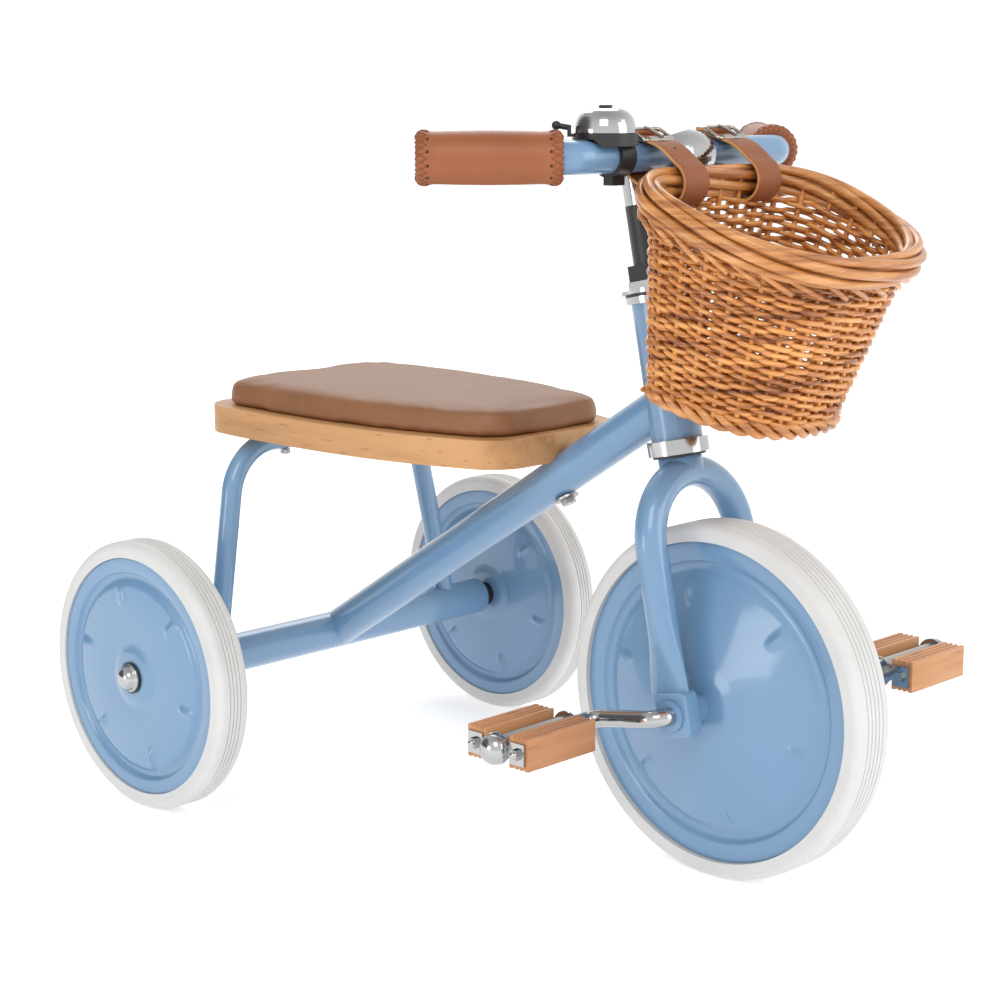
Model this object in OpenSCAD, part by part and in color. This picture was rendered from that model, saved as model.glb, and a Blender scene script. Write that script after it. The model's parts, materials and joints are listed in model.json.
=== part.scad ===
// Children's tricycle: steel frame with a wooden seat, a raked fork with a
// pedal-driven front wheel, swept handlebar, bell and strapped wicker basket.
// Millimetres, +Z up, +X forward. The origin is on the floor below the middle.

/* [Wheels and stance] */
// Distance between the front and rear axles
wheelbase = 404; // [360:1:460]
// Outer diameter of the front tyre
front_d = 250; // [220:1:280]
// Outer diameter of the rear tyres
rear_d = 206; // [180:1:240]
// Distance between the middles of the rear wheels
rear_track = 381; // [340:1:440]
// Width of the front tyre
front_tyre_w = 37; // [30:1:42]
// Width of the rear tyres
rear_tyre_w = 28; // [24:1:34]
// Height of the tyre tread above the wheel disc
tread_h = 12.2; // [9:0.1:15]
// Sheet thickness of the wheel discs
disc_t = 1.4; // [1:0.1:2.4]

/* [Steering] */
// Rearward lean of the steering axis
rake = 12; // [8:0.5:16]
// Distance from the steering axis forward to the front axle, at axle height
trail = 9; // [4:0.5:16]
// Bottom of the head tube, along the steering axis from axle height
head_s = 181; // [176:1:200]
// Length of the head tube
head_len = 96; // [80:1:110]
// Outer diameter of the head tube
head_d = 36; // [35:0.5:39]
// Outer diameter of the steerer tube
steerer_d = 25.4; // [24:0.1:26]
// Diameter of the fork tube
fork_tube_d = 22; // [19:0.5:24]
// Half distance between the middles of the fork legs
fork_half = 48; // [44:0.5:54]

/* [Handlebar] */
// Distance from the steering axis forward to the bar
stem_reach = 40; // [34:0.5:50]
// Place of the bar along the steering axis from axle height
bar_s = 372; // [364:1:400]
// Outer diameter of the bar
bar_d = 22.2; // [20:0.1:23]
// Half width at which the bar bends rearward
bar_corner = 105; // [101:1:120]
// Rearward sweep of the grips
sweep = 45; // [30:1:55]
// Length of each grip
grip_len = 94; // [80:1:110]
// Outer diameter of each grip
grip_d = 35; // [30:0.5:38]

/* [Frame and seat] */
// Outer diameter of the down tube
down_d = 30; // [26:0.5:32]
// Slope of the down tube
down_angle = 32.6; // [31:0.1:34]
// Outer diameter of the rear axle tube
axle_tube_d = 30; // [28:0.5:33]
// Outer diameter of the hoop that carries the seat
hoop_d = 16; // [14:0.5:19]
// Outward splay of the hoop legs
hoop_splay = 10.6; // [6:0.1:12]
// Height of the underside of the seat board
seat_z = 274; // [262:1:285]
// Length of the seat board
seat_len = 307; // [280:1:330]
// Greatest width of the seat board
seat_w = 200; // [180:1:220]
// Thickness of the seat board
seat_t = 21; // [18:0.5:26]
// Thickness of the seat cushion
cushion_t = 21; // [14:0.5:26]

/* [Cranks and pedals] */
// Diameter of the crank rod
crank_d = 12; // [10:0.5:13]
// Distance from the front axle to a pedal spindle
crank_throw = 59; // [50:1:66]
// Drop of the rearward crank below level
crank_angle = 10.5; // [0:0.5:30]
// Length of a pedal along its spindle
pedal_len = 70; // [60:1:80]
// Length of a pedal across its spindle
pedal_w = 55; // [52:1:62]
// Height of the pedal blocks
pedal_h = 22; // [20:0.5:26]

/* [Basket] */
// Half width of the basket rim
rim_half = 96; // [82:1:100]
// Depth of the basket rim from back to front
rim_depth = 139; // [124:1:141]
// Height of the basket from floor to rim
basket_h = 136; // [120:1:140]
// Forward lean of the basket
basket_tilt = 20; // [16:1:22]
// Width of the leather straps
strap_w = 25; // [20:0.5:28]
// Thickness of the leather straps
strap_t = 2.4; // [1.8:0.1:3]

/* [Hidden] */
$fn = 64;
// Gap between pieces that move against each other
gap = 0.3;
// Radial clearance of a running fit
run = 0.05;
e = 0.02;
// A straight run is this much thinner than a bend and reaches this far into it.
slip = 0.02;
lap = 0.5;

front_r = front_d / 2;
rear_r = rear_d / 2;
front_x = (wheelbase + rear_r - front_r) / 2;
rear_x = front_x - wheelbase;
wheel_y = rear_track / 2;

// Steering frame: origin on the axis at axle height, local z up the axis.
axle_fwd = trail * cos(rake);
axle_s = -trail * sin(rake);
head_top = head_s + head_len;
head_r = head_d / 2;
head_bore = head_r - 3;
steerer_r = steerer_d / 2;
quill_r = 11.1;
steerer_bore = quill_r + run;
cup_r = head_r + 3.6;
cup_wall = 3.6;
cup_low_h = 10.2;
cup_top_h = 5;
cup_clear = 0.9;
race_h = 1.5;
ball_r = 1.4;
ball_mid = (steerer_r + cup_r - cup_wall) / 2 + 0.6;
ball_low_s = head_s - 3 - ball_r;
ball_top_s = head_top + 2 + ball_r;
fork_r = fork_tube_d / 2;
fork_fwd = 4;
crown_s = head_s - cup_low_h - gap - race_h;
arch_s = crown_s - fork_half - fork_r;
leg_end_s = 30;
spade_t = 10;
cone_s = head_top + cup_top_h + gap;
tab_s = cone_s + 2;
nut_s = tab_s + 3;
steerer_top = nut_s + 5;
collar_h = 11;
sleeve_h = 52;
sleeve_r = 12.3;
neck_s = steerer_top + sleeve_h;

// Bearing blocks at the fork ends.
block_x = 28;
block_y = 13;
block_z = 31;
block_in = 45;
spade_half = block_x / 2 + 2;
spade_s = axle_s + block_z / 2;
bush_r = crank_d / 2 + 2.5;
bush_flange_r = bush_r + 2;
bush_flange_t = 2.5;
hub_r = 10;

// Bar, in the steering frame.
bar_r = bar_d / 2;
bar_bend_r = 20;
bar_straight = bar_corner - bar_bend_r * tan(sweep / 2);
bar_wall = 2;
grip_start = bar_bend_r * tan(sweep / 2) + 1;
bar_end = grip_start + grip_len - 3;
barrel_half = 21;
barrel_r = 17;
barrel_end_r = 13.5;
bell_y = -77.5;
bell_r = 20;
bell_h = 16;
bell_band_r = bar_r + 2.6;
bell_seat = bar_r + 0.5;
bell_band_y = 9;
lever_pin = bell_r - 3.5;
lever_angle = 226;

// Frame.
down_r = down_d / 2;
axle_tube_r = axle_tube_d / 2;
axle_tube_half = wheel_y - 28;
rod_r = 5;
hoop_r = hoop_d / 2;
hoop_bend = 45;
hoop_lean = 3;
hoop_h = (seat_z - hoop_r - rear_r) / cos(hoop_lean);
hoop_foot_y = 125.7;
hoop_corner = hoop_foot_y - hoop_h * tan(hoop_splay);
hoop_turn = 90 - hoop_splay;
hoop_tangent = hoop_bend * tan(hoop_turn / 2);
seat_rear = rear_x - 55;
seat_front = seat_rear + seat_len;
seat_inset = 9;
cushion_z = seat_z + seat_t;
cushion_edge = 6;
tube_wall = 2;

// Wheel discs: [share of the disc radius, height above the rim ring].
front_disc_r = front_r - tread_h;
rear_disc_r = rear_r - tread_h;
front_rim_y = front_tyre_w / 2 - 3.7;
rear_rim_y = rear_tyre_w / 2 - 1.4;
front_hub_y = 31;
rear_hub_y = 17;

// Cranks.
crank_r = crank_d / 2;
crank_y = 72;
crank_bend = 11;
pedal_in = 99;
plate_t = 2;
pedal_tube_r = crank_r + 2;
block_len = pedal_len - 2 * plate_t;
pedal_block_w = (pedal_w - 2 * pedal_tube_r - 5) / 2;
pedal_mid = (pedal_w - pedal_block_w) / 2;
cap_r = 11;

// Basket, in its own tilted frame with its origin at the back of the rim.
bar_drop = 17;
bar_ahead = 31;
rim_w = 17;
rim_h = 21;
wall_t = 6;
base_half = 66;
base_back = 32.5;
base_front = rim_depth - 6;
rim_dip = 2.5;
base_lift = 5;
foot_h = 12;
back_corner = 42;
base_corner = 24;
strap_y = 39;
foot_lip = 4;
bar_loop = bar_r + gap + 0.1;
rim_loop = norm([rim_w, rim_h]) / 2 + 0.5;

// ---- colours ----
module paint() { color([0.50, 0.63, 0.78]) children(); }
module chrome() { color([0.80, 0.80, 0.80]) children(); }
module black() { color([0.08, 0.08, 0.09]) children(); }
module timber() { color([0.84, 0.65, 0.45]) children(); }
module leather() { color([0.70, 0.42, 0.28]) children(); }
module white_rubber() { color([0.93, 0.93, 0.92]) children(); }

// ---- frames of reference ----
module steering() { translate([front_x - trail, 0, front_r]) rotate([0, -rake, 0]) children(); }
module at_bar() { steering() translate([stem_reach, 0, bar_s]) children(); }
module at_bell() { at_bar() rotate([0, rake, 0]) translate([0, bell_y, 0]) children(); }
module at_front_axle() { translate([front_x, 0, front_r]) children(); }
module along_down_tube() { translate([rear_x, 0, rear_r]) rotate([0, 90 - down_angle, 0]) children(); }
module hoop_frame() { translate([rear_x, 0, rear_r]) rotate([0, -hoop_lean, 0]) children(); }
module in_basket() {
    at_bar() rotate([0, rake, 0]) translate([bar_ahead, 0, -bar_drop]) rotate([0, basket_tilt, 0])
        children();
}

// ---- shared shapes ----
module tube(r, bore, h) {
    difference() {
        cylinder(r = r, h = h);
        translate([0, 0, -1]) cylinder(r = bore, h = h + 2);
    }
}
module y_rod(r, from, to) { translate([0, from, 0]) rotate([-90, 0, 0])
    cylinder(r = r, h = to - from); }
module y_tube(r, bore, from, to) {
    translate([0, from, 0]) rotate([-90, 0, 0]) tube(r, bore, to - from);
}
module y_solid(points) { rotate([-90, 0, 0]) rotate_extrude() polygon(points); }
module mirror_y(side) { mirror([0, side > 0 ? 0 : 1, 0]) children(); }
module hexagon(across, h) { cylinder(r = across / 2 / cos(30), h = h, $fn = 6); }

// A tube that starts at the origin along +x, turns towards +y by an angle and runs on.
module bent_tube(r, before, bend, angle, after) {
    if (before > 0) translate([-before, 0, 0]) rotate([0, 90, 0])
        cylinder(r = r - slip, h = before + lap);
    translate([0, bend, 0]) rotate([0, 0, -90]) rotate_extrude(angle = angle) translate([bend, 0])
        circle(r = r);
    translate([bend * sin(angle), bend * (1 - cos(angle)), 0]) rotate([0, 0, angle])
        translate([-lap, 0, 0]) rotate([0, 90, 0]) cylinder(r = r - slip, h = after + lap);
}

// ---- frame ----
module head_tube() {
    paint() steering() translate([0, 0, head_s]) tube(head_r, head_bore, head_len);
}
module down_tube() {
    long = wheelbase * 1.2;
    paint() difference() {
        along_down_tube() tube(down_r, down_r - tube_wall, long);
        translate([rear_x, 0, rear_r]) y_rod(axle_tube_r, -down_d, down_d);
        steering() cylinder(r = head_r, h = 2 * bar_s);
        steering() translate([0, -down_d, head_s - down_d]) cube([wheelbase, 2 * down_d, 2 * head_len]);
        seat_bolt_hole();
    }
}
module rear_axle_tube() {
    paint() translate([rear_x, 0, rear_r]) y_tube(axle_tube_r, axle_tube_r - tube_wall,
        -axle_tube_half, axle_tube_half);
}
module hoop_half(r) {
    hoop_frame() translate([0, hoop_corner - hoop_tangent, hoop_h]) rotate([0, -90, 0])
        rotate([0, 0, 90])
        bent_tube(r, 0, hoop_bend, hoop_turn, hoop_h);
}
module seat_hoop() {
    paint() difference() {
        union() {
            hoop_frame() translate([0, 0, hoop_h])
                y_rod(hoop_r - slip, hoop_tangent - hoop_corner - lap,
                    hoop_corner - hoop_tangent + lap);
            hoop_half(hoop_r);
            mirror([0, 1, 0]) hoop_half(hoop_r);
        }
        translate([rear_x, 0, rear_r]) y_rod(axle_tube_r, -wheel_y, wheel_y);
        translate([rear_x - wheelbase / 2, -wheel_y, -e]) cube([wheelbase, 2 * wheel_y, rear_r + e]);
        seat_screws(1.6);
    }
}

// Half width of the seat at a share u of its length from the back.
function seat_half(u, w) = let (d = u - 0.36) w / 2 * (d < 0 ? 1 - 0.55 * d * d : 1 - 1.05 * pow(d,
    2.4));
function seat_side(inset, back_r, front_r) =
    let (x0 = seat_rear + inset, x1 = seat_front - inset, l = x1 - x0, w = seat_w - 2 * inset)
    concat([for (a = [0:10:80]) let (x = back_r * (1 - cos(a)))
                [x0 + x, seat_half(x / l, w) - back_r * (1 - sin(a))]],
           [for (k = [0:16]) let (u = (back_r + (l - back_r - front_r) * k / 16) / l) [x0 + u * l,
               seat_half(u, w)]],
           [for (a = [80:-10:0]) let (x = front_r * (1 - cos(a)))
                [x1 - x, seat_half(1 - x / l, w) - front_r * (1 - sin(a))]]);
function seat_outline(inset, back_r, front_r) =
    let (s = seat_side(inset, back_r, front_r), n = len(s))
    concat(s, [for (k = [n - 1:-1:0]) [s[k][0], -s[k][1]]]);

module seat_bolt() {
    // Square to the down tube, through it and up into the front of the seat board.
    along_down_tube() translate([0, 0, seat_bolt_at]) rotate([0, -90, 0]) children();
}
seat_bolt_at = (seat_front + 2 - rear_x) / cos(down_angle) - down_r * tan(down_angle);
module seat_bolt_hole() { seat_bolt() translate([0, 0, -down_d]) cylinder(r = 3, h = 2 * down_d); }
module seat_screws(r) {
    for (side = [-1, 1])
        translate([rear_x - hoop_h * sin(hoop_lean), side * 45, seat_z - hoop_d - 4])
            cylinder(r = r, h = hoop_d + 16);
}
module seat_board() {
    timber() difference() {
        translate([0, 0, seat_z]) linear_extrude(seat_t) polygon(seat_outline(0, 30, 20));
        along_down_tube() cylinder(r = down_r, h = wheelbase);
        seat_bolt() cylinder(r = 3, h = down_r + 14);
        seat_screws(1.6);
    }
}
module seat_cushion() {
    steps = 4;
    leather() for (k = [0:steps]) {
        lift = k == 0 ? 0 : cushion_t - cushion_edge + cushion_edge * sin(90 * (k - 1) / steps);
        top = k == 0 ? cushion_t - cushion_edge : cushion_t - cushion_edge + cushion_edge * sin(90 * k / steps);
        inset = k == 0 ? 0 : cushion_edge * (1 - cos(90 * (k - 0.5) / steps));
        translate([0, 0, cushion_z + max(0, lift - e)]) linear_extrude(top - max(0, lift - e))
            polygon(seat_outline(seat_inset + inset, 26 - inset, 18 - inset));
    }
}
module seat_bolts() {
    chrome() {
        seat_bolt() {
            translate([0, 0, -down_r - 6]) cylinder(r = 3, h = 2 * down_r + 18);
            translate([0, 0, -down_r - 2]) cylinder(r = 9, h = 1.6);
            translate([0, 0, -down_r - 6]) hexagon(10, 4);
        }
        seat_screws(1.6);
        for (side = [-1, 1])
            translate([rear_x - hoop_h * sin(hoop_lean), side * 45, seat_z - hoop_d - 4])
                cylinder(r = 4, h = 3.4);
    }
}
module upper_head_cup() {
    chrome() steering() {
        difference() {
            translate([0, 0, head_top]) cylinder(r = cup_r, h = cup_top_h);
            translate([0, 0, head_top + 2]) cylinder(r = cup_r - cup_wall, h = cup_top_h);
            translate([0, 0, head_top - 1]) cylinder(r = steerer_r + cup_clear, h = cup_top_h);
        }
        translate([0, 0, head_top - 8]) tube(head_bore, steerer_r + cup_clear, 8);
    }
}
module lower_head_cup() {
    low = head_s - cup_low_h;
    chrome() steering() {
        difference() {
            translate([0, 0, low]) cylinder(r = cup_r, h = cup_low_h);
            translate([0, 0, low - 1]) cylinder(r = cup_r - cup_wall, h = cup_low_h - 2);
            translate([0, 0, low - 1]) cylinder(r = steerer_r + cup_clear, h = cup_low_h + 2);
        }
        translate([0, 0, head_s]) tube(head_bore, steerer_r + cup_clear, 8);
    }
}
module rear_axle_rod() {
    reach = wheel_y + rear_hub_y + 6;
    chrome() translate([rear_x, 0, rear_r]) {
        y_rod(rod_r, -reach, reach);
    }
}
module axle_spacers() {
    black() translate([rear_x, 0, rear_r]) for (side = [-1, 1]) mirror_y(side) {
        y_tube(axle_tube_r - tube_wall, rod_r, axle_tube_half - 12, axle_tube_half - 2);
        y_tube(rod_r + 4, rod_r, axle_tube_half - 2 - e, wheel_y - rear_hub_y - gap);
    }
}
module axle_washers() {
    face = wheel_y + rear_hub_y + gap;
    black() translate([rear_x, 0, rear_r]) for (side = [-1, 1])
        mirror_y(side) y_tube(12, rod_r, face, face + 1.5);
}
module axle_caps() {
    face = wheel_y + rear_hub_y + gap + 1.5;
    chrome() translate([rear_x, 0, rear_r]) for (side = [-1, 1])
        mirror_y(side) translate([0, face, 0]) difference() {
            y_solid([[0, 0], [cap_r, 0], [cap_r, 3], [cap_r * 0.93, 5], [cap_r * 0.72, 7],
                [cap_r * 0.4, 8.3], [0, 8.8]]);
            y_rod(rod_r, -1, 4.2);
        }
}

// ---- fork ----
module steerer_tube() {
    chrome() difference() {
        steering() translate([0, 0, arch_s + fork_half])
            tube(steerer_r, steerer_bore, steerer_top - arch_s - fork_half);
        fork_bends();
    }
}
module fork_bends() {
    for (side = [-1, 1]) steering() translate([fork_fwd, 0, arch_s]) rotate([90, 0, 90])
        rotate([0, 0, side > 0 ? 0 : 90])
        rotate_extrude(angle = 90) translate([fork_half, 0]) circle(r = fork_r);
}
module fork_arch() {
    paint() {
        fork_bends();
        steering() difference() {
            translate([0, 0, arch_s + fork_half])
                cylinder(r = steerer_r + 3, h = crown_s - arch_s - fork_half);
            translate([0, 0, arch_s]) cylinder(r = steerer_r, h = front_d);
        }
        for (side = [-1, 1]) steering() {
            translate([fork_fwd, side * fork_half, leg_end_s])
                cylinder(r = fork_r, h = arch_s - leg_end_s);
            translate([0, side * (block_in + block_y / 2) + spade_t / 2, 0]) rotate([90, 0, 0])
                linear_extrude(spade_t)
                polygon([[fork_fwd - fork_r + 2, leg_end_s + 6], [fork_fwd + fork_r - 2, leg_end_s + 6],
                    [axle_fwd + spade_half, spade_s + 3], [axle_fwd + spade_half, spade_s],
                    [axle_fwd - spade_half, spade_s], [axle_fwd - spade_half, spade_s + 3]]);
        }
    }
}
module block_outline() {
    r = 5;
    square([block_x - 2 * r, block_z], center = true);
    square([block_x, block_z - 2 * r], center = true);
    for (x = [-1, 1], z = [-1, 1]) translate([x * (block_x / 2 - r), z * (block_z / 2 - r)])
        circle(r = r);
}
module axle_blocks() {
    paint() steering() translate([axle_fwd, 0, axle_s]) for (side = [-1, 1]) mirror_y(side)
        difference() {
        translate([0, block_in + block_y, 0]) rotate([90, 0, 0]) linear_extrude(block_y)
            block_outline();
        y_rod(bush_r, block_in - 1, block_in + block_y + 1);
    }
}
module axle_bushes() {
    paint() steering() translate([axle_fwd, 0, axle_s]) for (side = [-1, 1]) mirror_y(side) {
        y_tube(bush_r, crank_r + run, block_in + gap, block_in + block_y);
        y_tube(bush_flange_r, crank_r + run, block_in + block_y, block_in + block_y + bush_flange_t);
    }
}
module crown_race() {
    black() steering() {
        translate([0, 0, crown_s]) tube(cup_r - 3, steerer_r, race_h);
        translate([0, 0, crown_s]) tube(ball_mid + 1, steerer_r, ball_low_s - ball_r - gap - crown_s);
    }
}
module ball_ring(s) {
    balls = 18;
    translate([0, 0, s]) {
        difference() {
            translate([0, 0, -0.7]) tube(ball_mid + 1, ball_mid - 1, 1.4);
            for (k = [1:balls]) rotate([0, 0, 360 * k / balls]) translate([ball_mid, 0, 0])
                sphere(r = ball_r);
        }
        for (k = [1:balls]) rotate([0, 0, 360 * k / balls]) translate([ball_mid, 0, 0])
            sphere(r = ball_r, $fn = 24);
    }
}
module lower_bearing() { chrome() steering() ball_ring(ball_low_s); }
module upper_bearing() { chrome() steering() ball_ring(ball_top_s); }
module top_cone() {
    black() steering() {
        translate([0, 0, cone_s]) tube(cup_r - 0.4, steerer_r, 2);
    }
}
module tab_washer() {
    chrome() steering() difference() {
        union() {
            translate([0, 0, tab_s]) cylinder(r = 19, h = 3);
            translate([-25.5, -6, tab_s]) cube([20, 12, 3]);
        }
        translate([0, 0, tab_s - 1]) cylinder(r = steerer_r, h = 5);
    }
}
module lock_nut() {
    chrome() steering() translate([0, 0, nut_s]) difference() {
        hexagon(32.5, 5);
        translate([0, 0, -1]) cylinder(r = steerer_r, h = 7);
    }
}
module column_sleeve() {
    black() steering() translate([0, 0, steerer_top]) tube(sleeve_r, steerer_bore, sleeve_h);
}
module clamp_collar() {
    black() steering() translate([0, 0, steerer_top]) difference() {
        hexagon(30.6, collar_h);
        translate([0, 0, -1]) cylinder(r = sleeve_r, h = collar_h + 2);
    }
}

// ---- handlebar ----
quill_low = head_top - 20;
wedge_h = 18;
module quill_stem() {
    chrome() difference() {
        steering() {
            translate([0, 0, quill_low]) cylinder(r = quill_r, h = neck_s - quill_low + 2);
            translate([0, 0, neck_s + run]) cylinder(r = sleeve_r, h = bar_s + 11 - neck_s);
            translate([0, 0, bar_s]) rotate([0, 90, 0])
                cylinder(r = sleeve_r - 1.3, h = stem_reach - barrel_r + 3);
        }
        steering() translate([0, 0, quill_low - wedge_h])
            cylinder(r = 3.1, h = bar_s - quill_low + wedge_h - 8);
        steering() translate([0, 0, bar_s - 9]) cylinder(r = 5.5, h = 40);
        at_bar() y_solid(barrel_profile());
    }
}
function barrel_profile() = concat([[0, -barrel_half]],
    [for (k = [0:12]) let (t = -1 + k / 6) [barrel_end_r + (barrel_r - barrel_end_r) * (1 - t * t),
        barrel_half * t]],
    [[0, barrel_half]]);
module stem_barrel() {
    chrome() at_bar() difference() {
        y_solid(barrel_profile());
        y_rod(bar_r, -barrel_half - 1, barrel_half + 1);
    }
}
module stem_wedge() {
    chrome() steering() translate([0, 0, quill_low - wedge_h - 0.5]) difference() {
        cylinder(r = quill_r - 0.4, h = wedge_h);
        translate([0, 0, -1]) cylinder(r = 3, h = wedge_h + 2);
    }
}
module wedge_bolt() {
    chrome() steering() {
        translate([0, 0, quill_low - wedge_h]) cylinder(r = 3, h = bar_s - 9 - quill_low + wedge_h);
        translate([0, 0, bar_s - 9]) cylinder(r = 5, h = 7);
    }
}
module bar_side(r, after) {
    translate([0, bar_straight, 0]) rotate([0, 0, 90]) bent_tube(r, 0, bar_bend_r, sweep, after);
}
module handlebar_tube() {
    paint() at_bar() rotate([0, rake, 0]) difference() {
        union() {
            y_rod(bar_r - slip, -bar_straight - lap, bar_straight + lap);
            for (side = [-1, 1]) mirror_y(side) bar_side(bar_r, bar_end - bar_bend_r * tan(sweep / 2));
        }
        for (side = [-1, 1]) mirror_y(side) translate([0, bar_corner, 0]) rotate([0, 0, sweep])
            y_rod(bar_r - bar_wall, grip_start, bar_end + 1);
    }
}
module grip() {
    at_bar() rotate([0, rake, 0]) translate([0, bar_corner, 0]) rotate([0, 0, sweep]) difference() {
        translate([0, grip_start, 0]) y_solid([[0, 0], [grip_d / 2 - 1, 0], [grip_d / 2, 2.5],
            [grip_d / 2 - 1.2, 8],
            [grip_d / 2 - 0.6, grip_len / 2], [grip_d / 2 - 1.2, grip_len - 8], [grip_d / 2,
                grip_len - 2.5],
            [grip_d / 2 - 1, grip_len], [0, grip_len]]);
        y_rod(bar_r, 0, bar_end);
    }
}
module left_grip() { leather() grip(); }
module right_grip() { leather() mirror([0, 1, 0]) grip(); }

// ---- bell ----
bell_base_z = bell_seat;
bell_rim_z = bell_base_z + 4;
module bell_clamp() {
    black() at_bell() translate([0, bell_band_y, 0]) difference() {
        union() {
            y_rod(bell_band_r, -7, 7);
            translate([-4, -6, -bell_band_r - 5]) cube([8, 12, 8]);
        }
        y_rod(bar_r, -20, 20);
        translate([-bell_r, -2 * bell_r, bell_base_z]) cube([2 * bell_r, 4 * bell_r, bell_r]);
    }
}
module bell_base() {
    black() at_bell() difference() {
        union() {
            translate([0, 0, bell_base_z]) cylinder(r = bell_r + 1.6, h = 3.6);
            translate([0, 0, bell_base_z]) cylinder(r = 4, h = bell_h - 1);
            difference() {
                translate([0, 0, bell_base_z - 4.5]) cylinder(r = bell_r + 1.6, h = 4.6);
                y_rod(bell_band_r + 0.1, -2 * bell_r, 2 * bell_r);
            }
        }
        translate([0, 0, bell_base_z + 1.2]) tube(bell_r - 8.5, bell_r - 13.5, 3);
        lever_slot();
    }
    black() at_bell() rotate([0, 0, lever_angle]) translate([lever_pin, 0, bell_base_z + 1 - e])
        cylinder(r = 1.2, h = 2.8);
}
module bell_dome() {
    chrome() at_bell() translate([0, 0, bell_rim_z]) difference() {
        rotate_extrude() polygon(concat([[0, 0]], [for (a = [0:7.5:90])
            bell_point(a, bell_r, bell_h)]));
        translate([0, 0, -e]) rotate_extrude()
            polygon(concat([[0, 0]], [for (a = [0:7.5:90]) bell_point(a, bell_r - 1.2, bell_h - 1.2)]));
        translate([0, 0, bell_h - 4]) cylinder(r = 2, h = 8);
    }
}
function bell_point(a, r, h) = [r * pow(cos(a), 0.55), h * pow(sin(a), 0.9)];
module bell_screw() {
    black() at_bell() {
        translate([0, 0, bell_rim_z + bell_h]) cylinder(r = 4.4, h = 1.6);
        translate([0, 0, bell_base_z + bell_h - 1]) cylinder(r = 1.9, h = bell_rim_z - bell_base_z + 1);
    }
}
module lever_slot() {
    rotate([0, 0, lever_angle]) translate([0, 0, bell_base_z + 1]) {
        translate([lever_pin, 0, 0]) cylinder(r = 3.6, h = 4);
        translate([lever_pin, -8.5, 0]) cube([12, 17, 4]);
    }
}
module bell_lever() {
    black() at_bell() rotate([0, 0, lever_angle]) {
        translate([lever_pin, 0, bell_base_z + 1.3]) difference() {
            union() {
                cylinder(r = 3, h = 2);
                translate([0, -2, 0]) cube([bell_r + 3 - lever_pin, 4, 2]);
            }
            translate([0, 0, -1]) cylinder(r = 1.2 + run, h = 4);
        }
        translate([bell_r + 2.4, -2, bell_base_z + 1.3]) cube([2.4, 4, 7]);
        translate([bell_r + 2.6, 0, bell_base_z + 7]) rotate([0, 80, 0]) cylinder(r = 1.9, h = 9);
        translate([bell_r + 12, 0, bell_base_z + 8.6]) sphere(r = 3);
    }
}

// ---- basket ----
// Half outline of a D from the middle of the back to the middle of the front.
function d_side(half, depth, corner) = concat([[0, 0]],
    [for (a = [0:15:90]) [corner * (1 - cos(a)), half - corner * (1 - sin(a))]],
    [for (t = [6:6:90]) [corner + (depth - corner) * pow(sin(t), 0.8), half * pow(cos(t), 0.8)]]);
function d_outline(half, depth, corner) =
    let (s = d_side(half, depth, corner), n = len(s))
    concat(s, [for (k = [n - 2:-1:1]) [s[k][0], -s[k][1]]]);
module d_plate(half, back, front, corner, h) {
    translate([back, 0, 0]) linear_extrude(h) polygon(d_outline(half, front - back, corner));
}
// The rim dips a little towards the front and the floor rises a little.
module at_rim() { rotate([0, rim_dip, 0]) children(); }
module at_floor(up) {
    translate([base_back, 0, up - basket_h]) rotate([0, -base_lift, 0])
        translate([-base_back, 0, 0]) children();
}
module basket_form(shrink, low) {
    hull() {
        at_rim() d_plate(rim_half - shrink, shrink, rim_depth - shrink, back_corner - shrink, e);
        at_floor(low) d_plate(base_half - shrink, base_back + shrink, base_front - shrink,
            base_corner - shrink, e);
    }
}
module strap_path() { at_bar() rotate([0, rake, 0]) rotate([90, 0, 0]) children(); }
function strap_lean(r_bar, r_rim) = acos((r_bar - r_rim) / norm([bar_ahead, bar_drop]));
// The outline of a band pulled tight round the bar and the basket rim.
function band_points(r_bar, r_rim) =
    let (turn = -atan(bar_drop / bar_ahead), lean = strap_lean(r_bar, r_rim), n = 20)
    concat([for (k = [0:n]) let (a = turn + lean + (360 - 2 * lean) * k / n) [r_bar * cos(a),
        r_bar * sin(a)]],
           [for (k = [0:n]) let (a = turn - lean + 2 * lean * k / n)
               [bar_ahead + r_rim * cos(a), r_rim * sin(a) - bar_drop]]);
module strap(y) {
    strap_path() translate([0, 0, -y - strap_w / 2]) linear_extrude(strap_w) difference() {
        polygon(band_points(bar_loop + strap_t, rim_loop + strap_t));
        polygon(band_points(bar_loop, rim_loop));
    }
}
module basket_straps() { leather() for (side = [-1, 1]) strap(side * strap_y); }
buckle_turn = strap_lean(bar_loop, rim_loop) - atan(bar_drop / bar_ahead);
module strap_buckles() {
    chrome() for (side = [-1, 1])
        strap_path() translate([0, 0, -side * strap_y]) rotate([0, 0, buckle_turn])
            translate([bar_loop + strap_t + 0.1, 0, 0]) {
                difference() {
                    translate([0, -8, -strap_w / 2 - 3]) cube([2.4, 16, strap_w + 6]);
                    translate([-1, -5.6, -strap_w / 2 - 0.6]) cube([5, 11.2, strap_w + 1.2]);
                }
                translate([1.2, 8, -strap_w / 2 - 3]) cylinder(r = 2.6, h = strap_w + 6);
            }
}
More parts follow.
